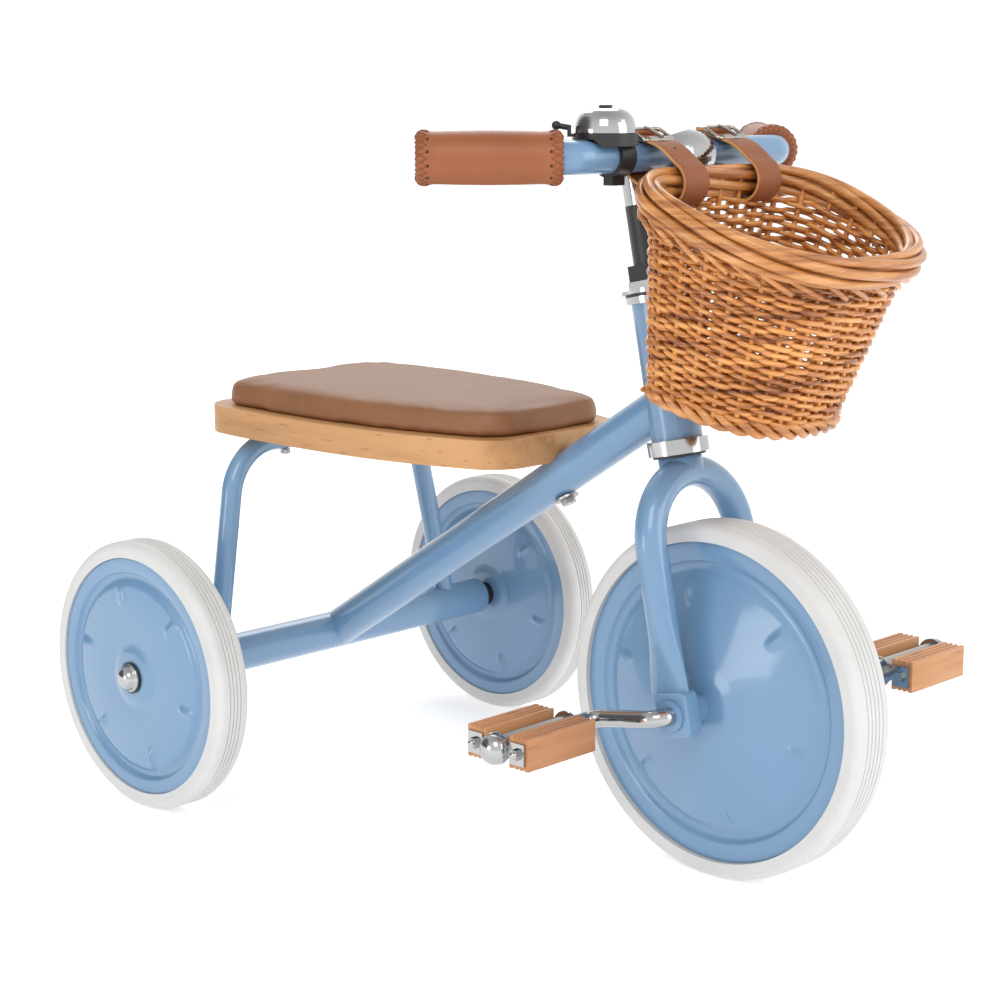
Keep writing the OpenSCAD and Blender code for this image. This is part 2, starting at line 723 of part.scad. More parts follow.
module basket() {
    color([0.80, 0.55, 0.32]) in_basket() difference() {
        union() {
            basket_form(0, 0);
            at_rim() translate([0, 0, -rim_h / 2])
                d_plate(rim_half + rim_w / 2, -rim_w / 2, rim_depth + rim_w / 2,
                back_corner + rim_w / 2, rim_h);
            at_floor(0) d_plate(base_half + foot_lip, base_back - foot_lip, base_front + foot_lip,
                base_corner + foot_lip, foot_h);
        }
        basket_form(wall_t, wall_t);
        at_rim() translate([0, 0, -rim_h / 2 - e])
            d_plate(rim_half - rim_w / 2, rim_w / 2, rim_depth - rim_w / 2,
            back_corner - rim_w / 2, rim_h + 1);
        for (side = [-1, 1]) translate([-20, side * strap_y - strap_w / 2 - 0.5,
            -rim_loop - strap_t - 2])
            cube([50, strap_w + 1, rim_loop + strap_t + 2 - rim_h / 2]);
    }
}

// ---- wheels ----
// Outer face of a stamped disc: flat rim ring, step, shallow cone and hub land.
function disc_face(r, rim_y, hub_y, hub) =
    [[r, rim_y], [r * 0.885, rim_y], [r * 0.86, rim_y - 3.2], [r * 0.815, rim_y - 3.2], [r * 0.77,
        rim_y - 0.4],
     [r * 0.27, hub_y - 2.2], [r * 0.2, hub_y], [hub, hub_y]];
function reversed(p) = [for (k = [len(p) - 1:-1:0]) p[k]];
module disc(r, rim_y, hub_y, hub) {
    face = disc_face(r, rim_y, hub_y, hub);
    y_solid(concat(face, [for (p = reversed(face)) [p[0], p[1] - disc_t]]));
}
module disc_pair(r, rim_y, hub_y, hub) {
    for (side = [-1, 1]) mirror_y(side) disc(r, rim_y, hub_y, hub);
}
// Tread section with rounded shoulders and fine grooves round it, on a web between the discs.
module tyre(r, w, rim_r, web, shoulder, grooves) {
    pitch = (w - 2 * shoulder) / (grooves + 1);
    arc = [for (a = [0:15:90]) [r - shoulder * (1 - sin(a)), w / 2 - shoulder * (1 - cos(a))]];
    cuts = [for (k = [1:grooves]) let (y = w / 2 - shoulder - pitch * k)
            each [[r, y + 0.5], [r - 0.9, y + 0.3], [r - 0.9, y - 0.3], [r, y - 0.5]]];
    low = [for (p = reversed(arc)) [p[0], -p[1]]];
    y_solid(concat([[rim_r * 0.89, -web], [rim_r * 0.89, web], [rim_r + e, web], [rim_r + e,
        w / 2]], arc, cuts, low,
        [[rim_r + e, -w / 2], [rim_r + e, -web]]));
}
module front_discs() { paint() at_front_axle()
    disc_pair(front_disc_r, front_rim_y, front_hub_y, hub_r); }
module front_tyre() {
    white_rubber() at_front_axle() tyre(front_r, front_tyre_w, front_disc_r,
        front_rim_y - disc_t - e, 6, 5);
}
module front_hub() { paint() at_front_axle() y_tube(hub_r, crank_r, -block_in + gap, block_in - gap); }
module at_rear_wheel(side) { translate([rear_x, side * wheel_y, rear_r]) children(); }
module rear_discs(side) { paint() at_rear_wheel(side)
    disc_pair(rear_disc_r, rear_rim_y, rear_hub_y, hub_r); }
module rear_tyre(side) {
    white_rubber() at_rear_wheel(side) tyre(rear_r, rear_tyre_w, rear_disc_r,
        rear_rim_y - disc_t - e, 6, 4);
}
module rear_hub(side) { black() at_rear_wheel(side)
    y_tube(hub_r, rod_r + run, -rear_hub_y, rear_hub_y); }
module left_wheel_discs() { rear_discs(1); }
module left_tyre() { rear_tyre(1); }
module left_hub() { rear_hub(1); }
module right_wheel_discs() { rear_discs(-1); }
module right_tyre() { rear_tyre(-1); }
module right_hub() { rear_hub(-1); }

// ---- cranks and pedals ----
spindle_end = pedal_in + pedal_len + 1;
// The left crank points forward and the right one rearward.
module crank_side(side) {
    at_front_axle() rotate([0, side > 0 ? -crank_angle : 180 - crank_angle, 0]) mirror_y(side)
        children();
}
module crank_half() {
    run_y = crank_y - crank_bend;
    translate([0, run_y, 0]) rotate([0, 0, 90]) rotate([180, 0, 0])
        bent_tube(crank_r, run_y, crank_bend, 90, crank_throw - 2 * crank_bend + lap);
    translate([crank_throw - crank_bend, crank_y, 0])
        bent_tube(crank_r, 0, crank_bend, 90, spindle_end - crank_y - crank_bend);
}
module crank_rod() { chrome() for (side = [-1, 1]) crank_side(side) crank_half(); }
module at_pedal(side) {
    crank_side(side) translate([crank_throw, 0, 0])
        rotate([0, side > 0 ? crank_angle : crank_angle, 0]) children();
}
module ridged_block() {
    ridges = 4;
    pitch = pedal_block_w / ridges;
    translate([0, pedal_in + plate_t + block_len, 0]) rotate([90, 0, 0]) linear_extrude(block_len)
        difference() {
        square([pedal_block_w, pedal_h], center = true);
        for (k = [1:ridges - 1], up = [-1, 1])
            translate([k * pitch - pedal_block_w / 2, up * pedal_h / 2])
            circle(r = 1.2, $fn = 24);
        circle(r = 2.1);
    }
}
module pedal_blocks(side) { timber() at_pedal(side) for (x = [-1, 1])
    translate([x * pedal_mid, 0, 0]) ridged_block(); }
module pedal_plate() {
    ear = pedal_block_w - 4;
    rotate([90, 0, 0]) linear_extrude(plate_t) difference() {
        union() {
            circle(r = pedal_tube_r + 3);
            for (x = [-1, 1]) translate([x * pedal_mid, 0]) square([ear, pedal_h - 7], center = true);
            square([2 * pedal_mid, 8], center = true);
        }
        circle(r = crank_r + run);
        for (x = [-1, 1]) translate([x * pedal_mid, 0]) circle(r = 2.1);
    }
}
module pedal_plates(side) {
    chrome() at_pedal(side) {
        translate([0, pedal_in + plate_t, 0]) pedal_plate();
        translate([0, pedal_in + pedal_len, 0]) pedal_plate();
    }
}
module pedal_tube(side) {
    chrome() at_pedal(side) y_tube(pedal_tube_r, crank_r + run, pedal_in + plate_t,
        pedal_in + plate_t + block_len);
}
module pedal_bolts(side) {
    chrome() at_pedal(side) for (x = [-1, 1]) translate([x * pedal_mid, 0, 0]) {
        y_rod(2.1, pedal_in - 1, pedal_in + pedal_len + 1);
        translate([0, pedal_in, 0]) rotate([90, 0, 0]) hexagon(6.5, 2.6);
        translate([0, pedal_in + pedal_len + 3, 0]) rotate([90, 0, 0]) hexagon(7, 3);
        translate([0, pedal_in + pedal_len + 3, 0]) sphere(r = 2.8);
    }
}
module pedal_cap(side) {
    chrome() at_pedal(side) translate([0, pedal_in + pedal_len, 0]) difference() {
        y_solid([[0, 0], [cap_r - 1, 0], [cap_r - 0.4, 3], [cap_r * 0.84, 6], [cap_r * 0.6, 8.4],
            [cap_r * 0.3, 9.6], [0, 10]]);
        y_rod(crank_r + 1, -1, 5);
    }
}
module left_pedal_blocks() { pedal_blocks(1); }
module left_pedal_plates() { pedal_plates(1); }
module left_pedal_tube() { pedal_tube(1); }
module left_pedal_bolts() { pedal_bolts(1); }
module left_pedal_cap() { pedal_cap(1); }
module right_pedal_blocks() { pedal_blocks(-1); }
module right_pedal_plates() { pedal_plates(-1); }
module right_pedal_tube() { pedal_tube(-1); }
module right_pedal_bolts() { pedal_bolts(-1); }
module right_pedal_cap() { pedal_cap(-1); }

head_tube();
down_tube();
rear_axle_tube();
seat_hoop();
seat_board();
seat_cushion();
seat_bolts();
upper_head_cup();
lower_head_cup();
rear_axle_rod();
axle_spacers();
axle_washers();
axle_caps();
steerer_tube();
fork_arch();
axle_blocks();
axle_bushes();
crown_race();
lower_bearing();
upper_bearing();
top_cone();
tab_washer();
lock_nut();
column_sleeve();
clamp_collar();
quill_stem();
stem_barrel();
stem_wedge();
wedge_bolt();
handlebar_tube();
left_grip();
right_grip();
bell_clamp();
bell_base();
bell_dome();
bell_screw();
bell_lever();
basket();
basket_straps();
strap_buckles();
front_discs();
front_tyre();
front_hub();
crank_rod();
left_pedal_blocks();
left_pedal_plates();
left_pedal_tube();
left_pedal_bolts();
left_pedal_cap();
right_pedal_blocks();
right_pedal_plates();
right_pedal_tube();
right_pedal_bolts();
right_pedal_cap();
left_wheel_discs();
left_tyre();
left_hub();
right_wheel_discs();
right_tyre();
right_hub();
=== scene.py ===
"""Finished pieces, materials, floor, lights and camera for a small steel tricycle."""

import json
import logging
import math
from contextlib import contextmanager
from dataclasses import dataclass, field
from enum import Enum
from typing import Iterator, Optional, Sequence, Union

import bpy
import numpy as np
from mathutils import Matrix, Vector


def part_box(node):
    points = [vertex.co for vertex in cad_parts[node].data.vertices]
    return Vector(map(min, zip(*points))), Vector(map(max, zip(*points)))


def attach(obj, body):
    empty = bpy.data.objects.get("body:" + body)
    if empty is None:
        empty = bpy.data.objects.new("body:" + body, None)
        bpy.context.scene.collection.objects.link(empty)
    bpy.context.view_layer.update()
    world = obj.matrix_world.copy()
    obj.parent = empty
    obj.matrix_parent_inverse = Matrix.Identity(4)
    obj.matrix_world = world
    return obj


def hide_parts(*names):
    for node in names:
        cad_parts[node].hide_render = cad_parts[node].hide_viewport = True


LOG = logging.getLogger("tricycle")
MM = 0.001
SEED = 7
CAP_PROFILE = [(r * MM, h * MM) for r, h in (
    (0, 0), (10.9, 0), (10.9, 1.0), (10.5, 1.6), (9.4, 2.0), (9.1, 2.5), (8.7, 3.8), (7.9, 5.4), (6.6, 6.9),
    (4.8, 8.0), (2.5, 8.6), (0, 8.8))]
PEDAL_CAP_PROFILE = [(r * MM, h * MM) for r, h in (
    (0, 0), (10.0, 0), (10.4, 1.6), (10.5, 3.0), (10.0, 4.6), (9.0, 6.2), (7.4, 7.8), (5.2, 9.1),
    (2.7, 9.8), (0, 10.0))]
FRONT_RIM_Y, FRONT_HUB_Y = 14.8 * MM, 31 * MM
REAR_RIM_Y, REAR_HUB_Y = 12.6 * MM, 17 * MM
HANG_AHEAD, HANG_DROP = 31 * MM, 17 * MM
GREY_LEVELS_UP = ((0.0, 1.0), (0.35, 0.95), (0.7, 0.75), (1.0, 0.55))
GREY_LEVELS_NEAR = ((0.0, 1.0), (0.7, 0.95), (0.86, 0.25), (1.0, 0.12))
DARK_SIDE = (-0.85, -0.55, 0.1)
WORLD_STRENGTH = 1.12
FLOOR_GLOW = 0.36
WILLOW_LEAN = math.radians(-20)
Point = Sequence[float]


# ---------------------------------------------------------------- modelling

def take(*objs: bpy.types.Object) -> None:
    """Deselects everything, then selects these objects with the first one active."""
    bpy.ops.object.select_all(action="DESELECT")
    for obj in objs:
        obj.select_set(True)
    bpy.context.view_layer.objects.active = objs[0]


@contextmanager
def editing(obj: bpy.types.Object) -> Iterator[None]:
    """Opens an object in edit mode with nothing selected, and closes it again.

    Args:
        obj: The mesh to edit.
    """
    take(obj)
    bpy.ops.object.mode_set(mode="EDIT")
    bpy.ops.mesh.select_mode(type="FACE")
    bpy.ops.mesh.select_all(action="DESELECT")
    yield
    bpy.ops.object.mode_set(mode="OBJECT")


def tidy_mesh(obj: bpy.types.Object, gap: float = 0.00001) -> None:
    """Merges an object's doubled vertices and turns its faces outwards.

    Args:
        obj: The mesh to mend.
        gap: How near two vertices are merged, in metres.
    """
    with editing(obj):
        bpy.ops.mesh.select_all(action="SELECT")
        bpy.ops.mesh.remove_doubles(threshold=gap)
        bpy.ops.mesh.normals_make_consistent(inside=False)


def apply(obj: bpy.types.Object, kind: str, **settings: object) -> None:
    """Adds a modifier with its settings and applies it.

    Args:
        obj: The mesh to change.
        kind: The modifier's type.
        **settings: The modifier's own properties.
    """
    modifier = obj.modifiers.new(kind.title(), kind)
    for name, value in settings.items():
        setattr(modifier, name, value)
    take(obj)
    bpy.ops.object.modifier_apply(modifier=modifier.name)


def smooth(obj: bpy.types.Object, degrees: float = 40) -> None:
    """Shades an object smoothly across edges flatter than an angle."""
    take(obj)
    bpy.ops.object.shade_smooth_by_angle(angle=math.radians(degrees))


def merged_copy(node: str, name: str) -> bpy.types.Object:
    """Copies a frame node as one closed mesh with flat faces joined.

    Args:
        node: The frame node to copy.
        name: The new piece's name.

    Returns:
        The new object, free of the node's body.
    """
    source = frame["nodes"][node]
    take(source)
    bpy.ops.object.duplicate()
    copy = bpy.context.view_layer.objects.active
    copy.parent = None
    copy.name = name
    for key in list(copy.keys()):
        del copy[key]
    take(copy)
    if copy.data.has_custom_normals:
        bpy.ops.mesh.customdata_custom_splitnormals_clear()
    copy.data.materials.clear()
    tidy_mesh(copy)
    apply(copy, "DECIMATE", decimate_type="DISSOLVE", angle_limit=math.radians(0.6))
    return copy


def from_points(name: str, points: np.ndarray, edges: Sequence[Sequence[int]]) -> bpy.types.Object:
    """Makes a wire of vertices and edges that an operator can extrude or spin.

    Args:
        name: The new object's name.
        points: One row of x, y and z for each vertex.
        edges: Pairs of vertex numbers.

    Returns:
        The wire as a mesh object.
    """
    mesh = bpy.data.meshes.new(name)
    mesh.from_pydata([tuple(p) for p in points], edges, [])
    obj = bpy.data.objects.new(name, mesh)
    bpy.context.scene.collection.objects.link(obj)
    return obj


def turned(name: str, profile: Sequence[Point], origin: Vector, axis: Vector,
           steps: int = 72) -> bpy.types.Object:
    """Spins a profile round an axis, as on a lathe.

    Args:
        name: The new piece's name.
        profile: Pairs of radius and height along the axis, in metres.
        origin: Where height 0 is.
        axis: The direction of growing height.
        steps: The number of facets round.

    Returns:
        A closed mesh with outward faces.
    """
    axis = axis.normalized()
    side = axis.orthogonal().normalized()
    points = np.array([origin + side * r + axis * h for r, h in profile])
    obj = from_points(name, points, [(k, k + 1) for k in range(len(points) - 1)])
    with editing(obj):
        bpy.ops.mesh.select_all(action="SELECT")
        bpy.ops.mesh.spin(steps=steps, angle=2 * math.pi, center=origin, axis=axis, dupli=False)
    tidy_mesh(obj)
    return obj


def rods(name: str, paths: Sequence[np.ndarray], radii: Sequence[float], closed: bool,
         facets: int = 6) -> bpy.types.Object:
    """Lays round rods along paths, all in one mesh.

    Args:
        name: The new piece's name.
        paths: One array of points for each rod, in metres.
        radii: One radius for each rod.
        closed: True if each rod is a ring.
        facets: The number of faces round a rod, even and at least 4.

    Returns:
        The rods as a mesh object.
    """
    curve = bpy.data.curves.new(name, "CURVE")
    curve.dimensions = "3D"
    curve.bevel_depth = 1.0
    curve.bevel_resolution = max(0, (facets - 4) // 2)
    curve.use_fill_caps = not closed
    for path, radius in zip(paths, radii):
        spline = curve.splines.new("POLY")
        spline.points.add(len(path) - 1)
        flat = np.c_[path, np.ones(len(path))].astype(np.float32).ravel()
        spline.points.foreach_set("co", flat)
        spline.points.foreach_set("radius", np.full(len(path), radius, np.float32))
        spline.use_cyclic_u = closed
    obj = bpy.data.objects.new(name, curve)
    bpy.context.scene.collection.objects.link(obj)
    take(obj)
    bpy.ops.object.convert(target="MESH")
    obj = bpy.context.view_layer.objects.active
    obj.name = name
    smooth(obj, 80)
    return obj


def joined(name: str, objs: Sequence[bpy.types.Object]) -> bpy.types.Object:
    """Joins objects into one piece under a new name.

    Args:
        name: The new name.
        objs: The objects, of which the first takes in the others.

    Returns:
        The joined object.
    """
    take(*objs)
    bpy.ops.object.join()
    obj = bpy.context.view_layer.objects.active
    obj.name = name
    return obj


def paint_with(obj: bpy.types.Object, *materials: bpy.types.Material) -> None:
    """Gives an object these materials in place of its own.

    Args:
        obj: The mesh to paint.
        *materials: Its new materials, in slot order.
    """
    obj.data.materials.clear()
    for material in materials:
        obj.data.materials.append(material)


def dress(material: bpy.types.Material, *nodes: str) -> None:
    """Gives frame nodes a finished material.

    Args:
        material: The finish.
        *nodes: The nodes that take it.
    """
    for node in nodes:
        obj = frame["nodes"][node]
        if not obj.material_slots:
            obj.data.materials.append(material)
        for slot in obj.material_slots:
            slot.material = material


def place(obj: bpy.types.Object, body: str, slot: str, *nodes: str) -> bpy.types.Object:
    """Hands a finished piece over to a body, in place of frame nodes if any are named.

    Args:
        obj: The finished piece.
        body: The body it moves with.
        slot: The record's material slot; not used.
        *nodes: The frame nodes it stands for.

    Returns:
        The same object.
    """
    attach(obj, body)
    if nodes:
        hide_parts(*nodes)
    LOG.info("%s: %d faces on %s", obj.name, len(obj.data.polygons), body)
    return obj


def centre(node: str) -> Vector:
    """The middle of a frame node's box."""
    low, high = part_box(node)
    return (low + high) / 2


def half_size(node: str) -> Vector:
    """Half the size of a frame node's box."""
    low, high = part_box(node)
    return (high - low) / 2


# ------------------------------------------------------------------ shading

class Signal:
    """A shader socket that arithmetic can be done on."""

    def __init__(self, shader: "Shader", socket: bpy.types.NodeSocket) -> None:
        """Wraps one output socket of a shader's tree."""
        self.shader = shader
        self.socket = socket

    def _math(self, operation: str, a: object, b: object = 0.0, clamp: bool = False) -> "Signal":
        """Adds one Math node."""
        return self.shader.node("ShaderNodeMath", {"operation": operation, "use_clamp": clamp},
                                {0: a, 1: b})

    def __add__(self, other: object) -> "Signal":
        """Sum."""
        return self._math("ADD", self, other)

    __radd__ = __add__

    def __sub__(self, other: object) -> "Signal":
        """Difference."""
        return self._math("SUBTRACT", self, other)

    def __rsub__(self, other: object) -> "Signal":
        """Difference from a value on the left."""
        return self._math("SUBTRACT", other, self)

    def __mul__(self, other: object) -> "Signal":
        """Product."""
        return self._math("MULTIPLY", self, other)

    __rmul__ = __mul__

    def clamped(self) -> "Signal":
        """This value held between 0 and 1."""
        return self._math("ADD", self, 0.0, clamp=True)


class Shader:
    """One material with one surface shader and the nodes that feed it."""

    def __init__(self, name: str, **constants: object) -> None:
        """Starts a material.

        Args:
            name: The material's name.
            **constants: Values for the shader's sockets, with _ for a space in a socket's name.
        """
        self.material = bpy.data.materials.new(name)
        self.material.use_nodes = True
        self.tree = self.material.node_tree
        self.surface = self.tree.nodes["Principled BSDF"]
        for socket, value in constants.items():
            self.surface.inputs[socket.replace("_", " ")].default_value = value

    def node(self, kind: str, settings: Optional[dict] = None, inputs: Optional[dict] = None,
             output: Union[int, str] = 0) -> Signal:
        """Adds a node.

        Args:
            kind: The node's type.
            settings: Its properties; "stops" is a colour ramp's list of (place, colour).
            inputs: Values or signals for its sockets, by name or number.
            output: Which output to return.

        Returns:
            The output as a Signal.
        """
        node = self.tree.nodes.new(kind)
        for name, value in (settings or {}).items():
            if name == "stops":
                ramp = node.color_ramp.elements
                while len(ramp) < len(value):
                    ramp.new(0.5)
                for element, (stop, colour) in zip(ramp, value):
                    element.position, element.color = stop, (*colour, 1.0)
            else:
                setattr(node, name, value)
        for name, value in (inputs or {}).items():
            if isinstance(value, Signal):
                self.tree.links.new(value.socket, node.inputs[name])
            else:
                node.inputs[name].default_value = value
        return Signal(self, node.outputs[output])

    def feed(self, socket: str, signal: Signal) -> None:
        """Links a signal to one of the surface's sockets."""
        self.tree.links.new(signal.socket, self.surface.inputs[socket])

    def place(self, scale: Point = (1, 1, 1), turn: Point = (0, 0, 0)) -> Signal:
        """Object coordinates, scaled and turned."""
        coords = self.node("ShaderNodeTexCoord", output="Object")
        return self.node("ShaderNodeMapping", inputs={"Vector": coords, "Scale": scale, "Rotation": turn})

    def noise(self, where: Signal, scale: float, detail: float = 3.0, rough: float = 0.5) -> Signal:
        """Cloudy values from 0 to 1.

        Args:
            where: The coordinates.
            scale: How fine the clouds are.
            detail: How many finer layers they have.
            rough: How strong the finer layers are.

        Returns:
            The values.
        """
        return self.node("ShaderNodeTexNoise",
                         inputs={"Vector": where, "Scale": scale, "Detail": detail, "Roughness": rough})

    def cells(self, where: Signal, scale: float, feature: str = "F1") -> Signal:
        """Distance to the nearest of scattered points, or to a cell's edge."""
        return self.node("ShaderNodeTexVoronoi", {"feature": feature}, {"Vector": where, "Scale": scale})

    def ramp(self, value: Signal, *stops: tuple) -> Signal:
        """Colours along a value."""
        return self.node("ShaderNodeValToRGB", {"stops": list(stops)}, {"Fac": value})

    def blend(self, amount: Signal, a: object, b: object) -> Signal:
        """Mixes two colours.

        Args:
            amount: 0 for the first colour and 1 for the second.
            a: A colour or a signal.
            b: A colour or a signal.

        Returns:
            The mixed colour.
        """
        a = (*a, 1.0) if isinstance(a, tuple) else a
        b = (*b, 1.0) if isinstance(b, tuple) else b
        return self.node("ShaderNodeMix", {"data_type": "RGBA", "blend_type": "MIX"},
                         {0: amount, 6: a, 7: b}, output=2)

    def relief(self, height: Signal, depth: float, strength: float = 1.0) -> None:
        """Raises the surface by a height signal times a depth in metres."""
        bump = self.node("ShaderNodeBump",
                         inputs={"Height": height, "Distance": depth, "Strength": strength})
        self.feed("Normal", bump)


@dataclass(frozen=True)
class Paint:
    """Satin powder coat with a faint orange-peel surface."""

    colour: tuple = (0.147, 0.280, 0.455)

    def build(self) -> bpy.types.Material:
        """Makes the material."""
        s = Shader("painted_steel", Roughness=0.34, Coat_Weight=0.8, Coat_Roughness=0.09)
        soft = s.noise(s.place(), 9.0, 2.0)
        darker = tuple(0.93 * c for c in self.colour)
        s.feed("Base Color", s.blend(soft, darker, self.colour))
        s.feed("Roughness", 0.30 + 0.10 * s.noise(s.place(), 60.0, 2.0))
        s.relief(s.noise(s.place(), 520.0, 2.0), 0.00003, 0.5)
        return s.material


@dataclass(frozen=True)
class Rubber:
    """Moulded white rubber with a matt face and faint scuffs."""

    colour: tuple = (0.62, 0.62, 0.61)

    def build(self) -> bpy.types.Material:
        """Makes the material."""
        s = Shader("white_rubber", Roughness=0.6)
        marks = s.noise(s.place(), 26.0, 5.0, 0.6)
        worn = tuple(0.93 * c for c in self.colour)
        s.feed("Base Color", s.ramp(marks, (0.30, worn), (0.62, self.colour)))
        s.feed("Roughness", 0.52 + 0.16 * marks)
        s.relief(s.noise(s.place(), 900.0, 2.0), 0.00005, 0.5)
        return s.material


class Grain(Enum):
    """Which way a board's grain runs, as how much the pattern is drawn out along each axis."""

    ALONG_X = (0.09, 1.0, 1.0)
    ALONG_Y = (1.0, 0.09, 1.0)


@dataclass(frozen=True)
class Beech:
    """Oiled beech with soft growth bands and short dark flecks."""

    grain: Grain
    light: tuple = (0.53, 0.275, 0.11)
    dark: tuple = (0.38, 0.175, 0.06)

    def build(self) -> bpy.types.Material:
        """Makes the material."""
        s = Shader(f"beech_{self.grain.name.lower()}", Roughness=0.46, Coat_Weight=0.08)
        where = s.place(self.grain.value)
        warp = s.noise(where, 14.0, 2.0)
        bands = s.node("ShaderNodeTexNoise", inputs={"Vector": where, "Scale": 46.0, "Detail": 4.0,
                                                     "Roughness": 0.55, "Distortion": 0.4})
        flecks = s.cells(where, 260.0)
        fine = s.noise(where, 420.0, 3.0)
        tone = s.ramp(0.6 * bands + 0.4 * warp, (0.32, self.dark), (0.50, self.light),
                      (0.68, tuple(1.12 * c for c in self.light)))
        fleck = (1.0 - 4.0 * flecks).clamped() * 0.8
        s.feed("Base Color", s.blend(fleck, tone, tuple(0.62 * c for c in self.dark)))
        s.feed("Roughness", 0.38 + 0.2 * fine)
        s.relief(fine - 0.7 * fleck, 0.00012, 0.5)
        return s.material


@dataclass(frozen=True)
class Leather:
    """Leather with pebbled grain, pores and uneven colour."""

    name: str
    colour: tuple
    grain_scale: float = 900.0
    depth: float = 0.00012
    rough: float = 0.5

    def build(self) -> bpy.types.Material:
        """Makes the material."""
        s = Shader(self.name, Roughness=self.rough, Specular_IOR_Level=0.4)
        where = s.place()
        clouds = s.noise(where, 30.0, 4.0, 0.6)
        pebble = s.cells(where, self.grain_scale)
        creases = s.cells(where, self.grain_scale * 0.35, "DISTANCE_TO_EDGE")
        dark = tuple(0.88 * c for c in self.colour)
        light = tuple(min(1.0, 1.06 * c) for c in self.colour)
        base = s.ramp(clouds, (0.3, dark), (0.55, self.colour), (0.75, light))
        s.feed("Base Color", s.blend((1.0 - 9.0 * creases).clamped() * 0.25, base, dark))
        s.feed("Roughness", (self.rough - 0.08) + 0.2 * pebble)
        s.relief((3.0 * creases).clamped() - 0.6 * pebble, self.depth, 0.7)
        return s.material


@dataclass(frozen=True)
class Metal:
    """Plated or polished metal with faint handling marks."""

    name: str
    colour: tuple
    rough: float

    def build(self) -> bpy.types.Material:
        """Makes the material."""
        s = Shader(self.name, Metallic=1.0)
        haze = s.noise(s.place(), 70.0, 4.0, 0.6)
        s.feed("Base Color", s.blend(haze, tuple(0.9 * c for c in self.colour), self.colour))
        s.feed("Roughness", self.rough * 0.7 + self.rough * 0.7 * haze)
        s.relief(s.noise(s.place(), 260.0, 3.0), 0.00002, 0.35)
        return s.material


@dataclass(frozen=True)
class Plastic:
    """Dark moulded plastic or coated steel with a fine texture; the same build also makes the near-black
    painted shade in punched holes.
    """

    name: str
    colour: tuple
    rough: float

    def build(self) -> bpy.types.Material:
        """Makes the material."""
        s = Shader(self.name, Roughness=self.rough)
        dust = s.noise(s.place(), 90.0, 3.0)
        s.feed("Base Color", s.blend(dust, self.colour, tuple(1.5 * c + 0.004 for c in self.colour)))
        s.feed("Roughness", (self.rough - 0.05) + 0.14 * dust)
        s.relief(s.noise(s.place(), 1400.0, 2.0), 0.00004, 0.4)
        return s.material


@dataclass(frozen=True)
class Willow:
    """Varnished peeled willow whose tone changes from rod to rod."""

    name: str
    light: tuple = (0.76, 0.36, 0.105)
    middle: tuple = (0.55, 0.205, 0.042)
    dark: tuple = (0.20, 0.050, 0.009)
    lean: float = 0.0

    def build(self) -> bpy.types.Material:
        """Makes the material."""
        s = Shader(self.name, Roughness=0.36, Coat_Weight=0.45, Coat_Roughness=0.15)
        flat = s.place((14.0, 14.0, 210.0), (0.0, self.lean, 0.0))
        rod = s.noise(flat, 1.0, 2.0, 0.5)
        streak = s.noise(s.place((90.0, 90.0, 900.0), (0.0, self.lean, 0.0)), 1.0, 3.0)
        knots = s.cells(s.place(), 55.0)
        tone = s.ramp(0.75 * rod + 0.25 * streak,
                      (0.36, self.dark), (0.50, self.middle), (0.64, self.light))
        knot = (1.0 - 14.0 * knots).clamped() * 0.7
        s.feed("Base Color", s.blend(knot, tone, tuple(0.5 * c for c in self.dark)))
        s.feed("Roughness", 0.28 + 0.2 * streak)
        s.relief(streak - 0.5 * knot, 0.00015, 0.6)
        return s.material


@dataclass
class Finishes:
    """Every finish on the tricycle, made once."""

    paint: bpy.types.Material = field(default_factory=lambda: Paint().build())
    rubber: bpy.types.Material = field(default_factory=lambda: Rubber().build())
    board: bpy.types.Material = field(default_factory=lambda: Beech(Grain.ALONG_X).build())
    block: bpy.types.Material = field(default_factory=lambda: Beech(
        Grain.ALONG_Y, (0.53, 0.25, 0.105), (0.36, 0.14, 0.05)).build())
    cushion: bpy.types.Material = field(default_factory=lambda: Leather(
        "cushion_leather", (0.255, 0.112, 0.048), 1500.0, 0.00004, 0.44).build())
    grip: bpy.types.Material = field(default_factory=lambda: Leather(
        "grip_leather", (0.30, 0.092, 0.032), 1300.0, 0.00004, 0.42).build())
    strap: bpy.types.Material = field(default_factory=lambda: Leather(
        "strap_leather", (0.27, 0.088, 0.030), 620.0, 0.0002, 0.5).build())
    cut_edge: bpy.types.Material = field(default_factory=lambda: Leather(
        "cut_leather", (0.60, 0.30, 0.12), 1500.0, 0.00012, 0.7).build())
    lace: bpy.types.Material = field(default_factory=lambda: Leather(
        "lace_leather", (0.25, 0.075, 0.026), 2200.0, 0.00006, 0.55).build())
    chrome: bpy.types.Material = field(default_factory=lambda: Metal(
        "chrome", (0.50, 0.50, 0.50), 0.1).build())
    nickel: bpy.types.Material = field(default_factory=lambda: Metal(
        "nickel", (0.50, 0.47, 0.42), 0.2).build())
    zinc: bpy.types.Material = field(default_factory=lambda: Metal(
        "zinc", (0.42, 0.42, 0.41), 0.34).build())
    black: bpy.types.Material = field(default_factory=lambda: Plastic(
        "satin_black", (0.012, 0.012, 0.013), 0.36).build())
    # painted shade: a near-black finish for the dark plugs and rods that stand in for the shade inside
    # punched holes
    painted_hole_shade: bpy.types.Material = field(default_factory=lambda: Plastic(
        "punched_hole_shade", (0.03, 0.012, 0.006), 0.8).build())
    willow: bpy.types.Material = field(default_factory=lambda: Willow(
        "willow_weave", lean=WILLOW_LEAN).build())
    willow_rim: bpy.types.Material = field(default_factory=lambda: Willow(
        "willow_rim", (0.68, 0.32, 0.11), (0.52, 0.21, 0.055), (0.32, 0.105, 0.022), WILLOW_LEAN).build())


# ------------------------------------------------------------- sub-assemblies

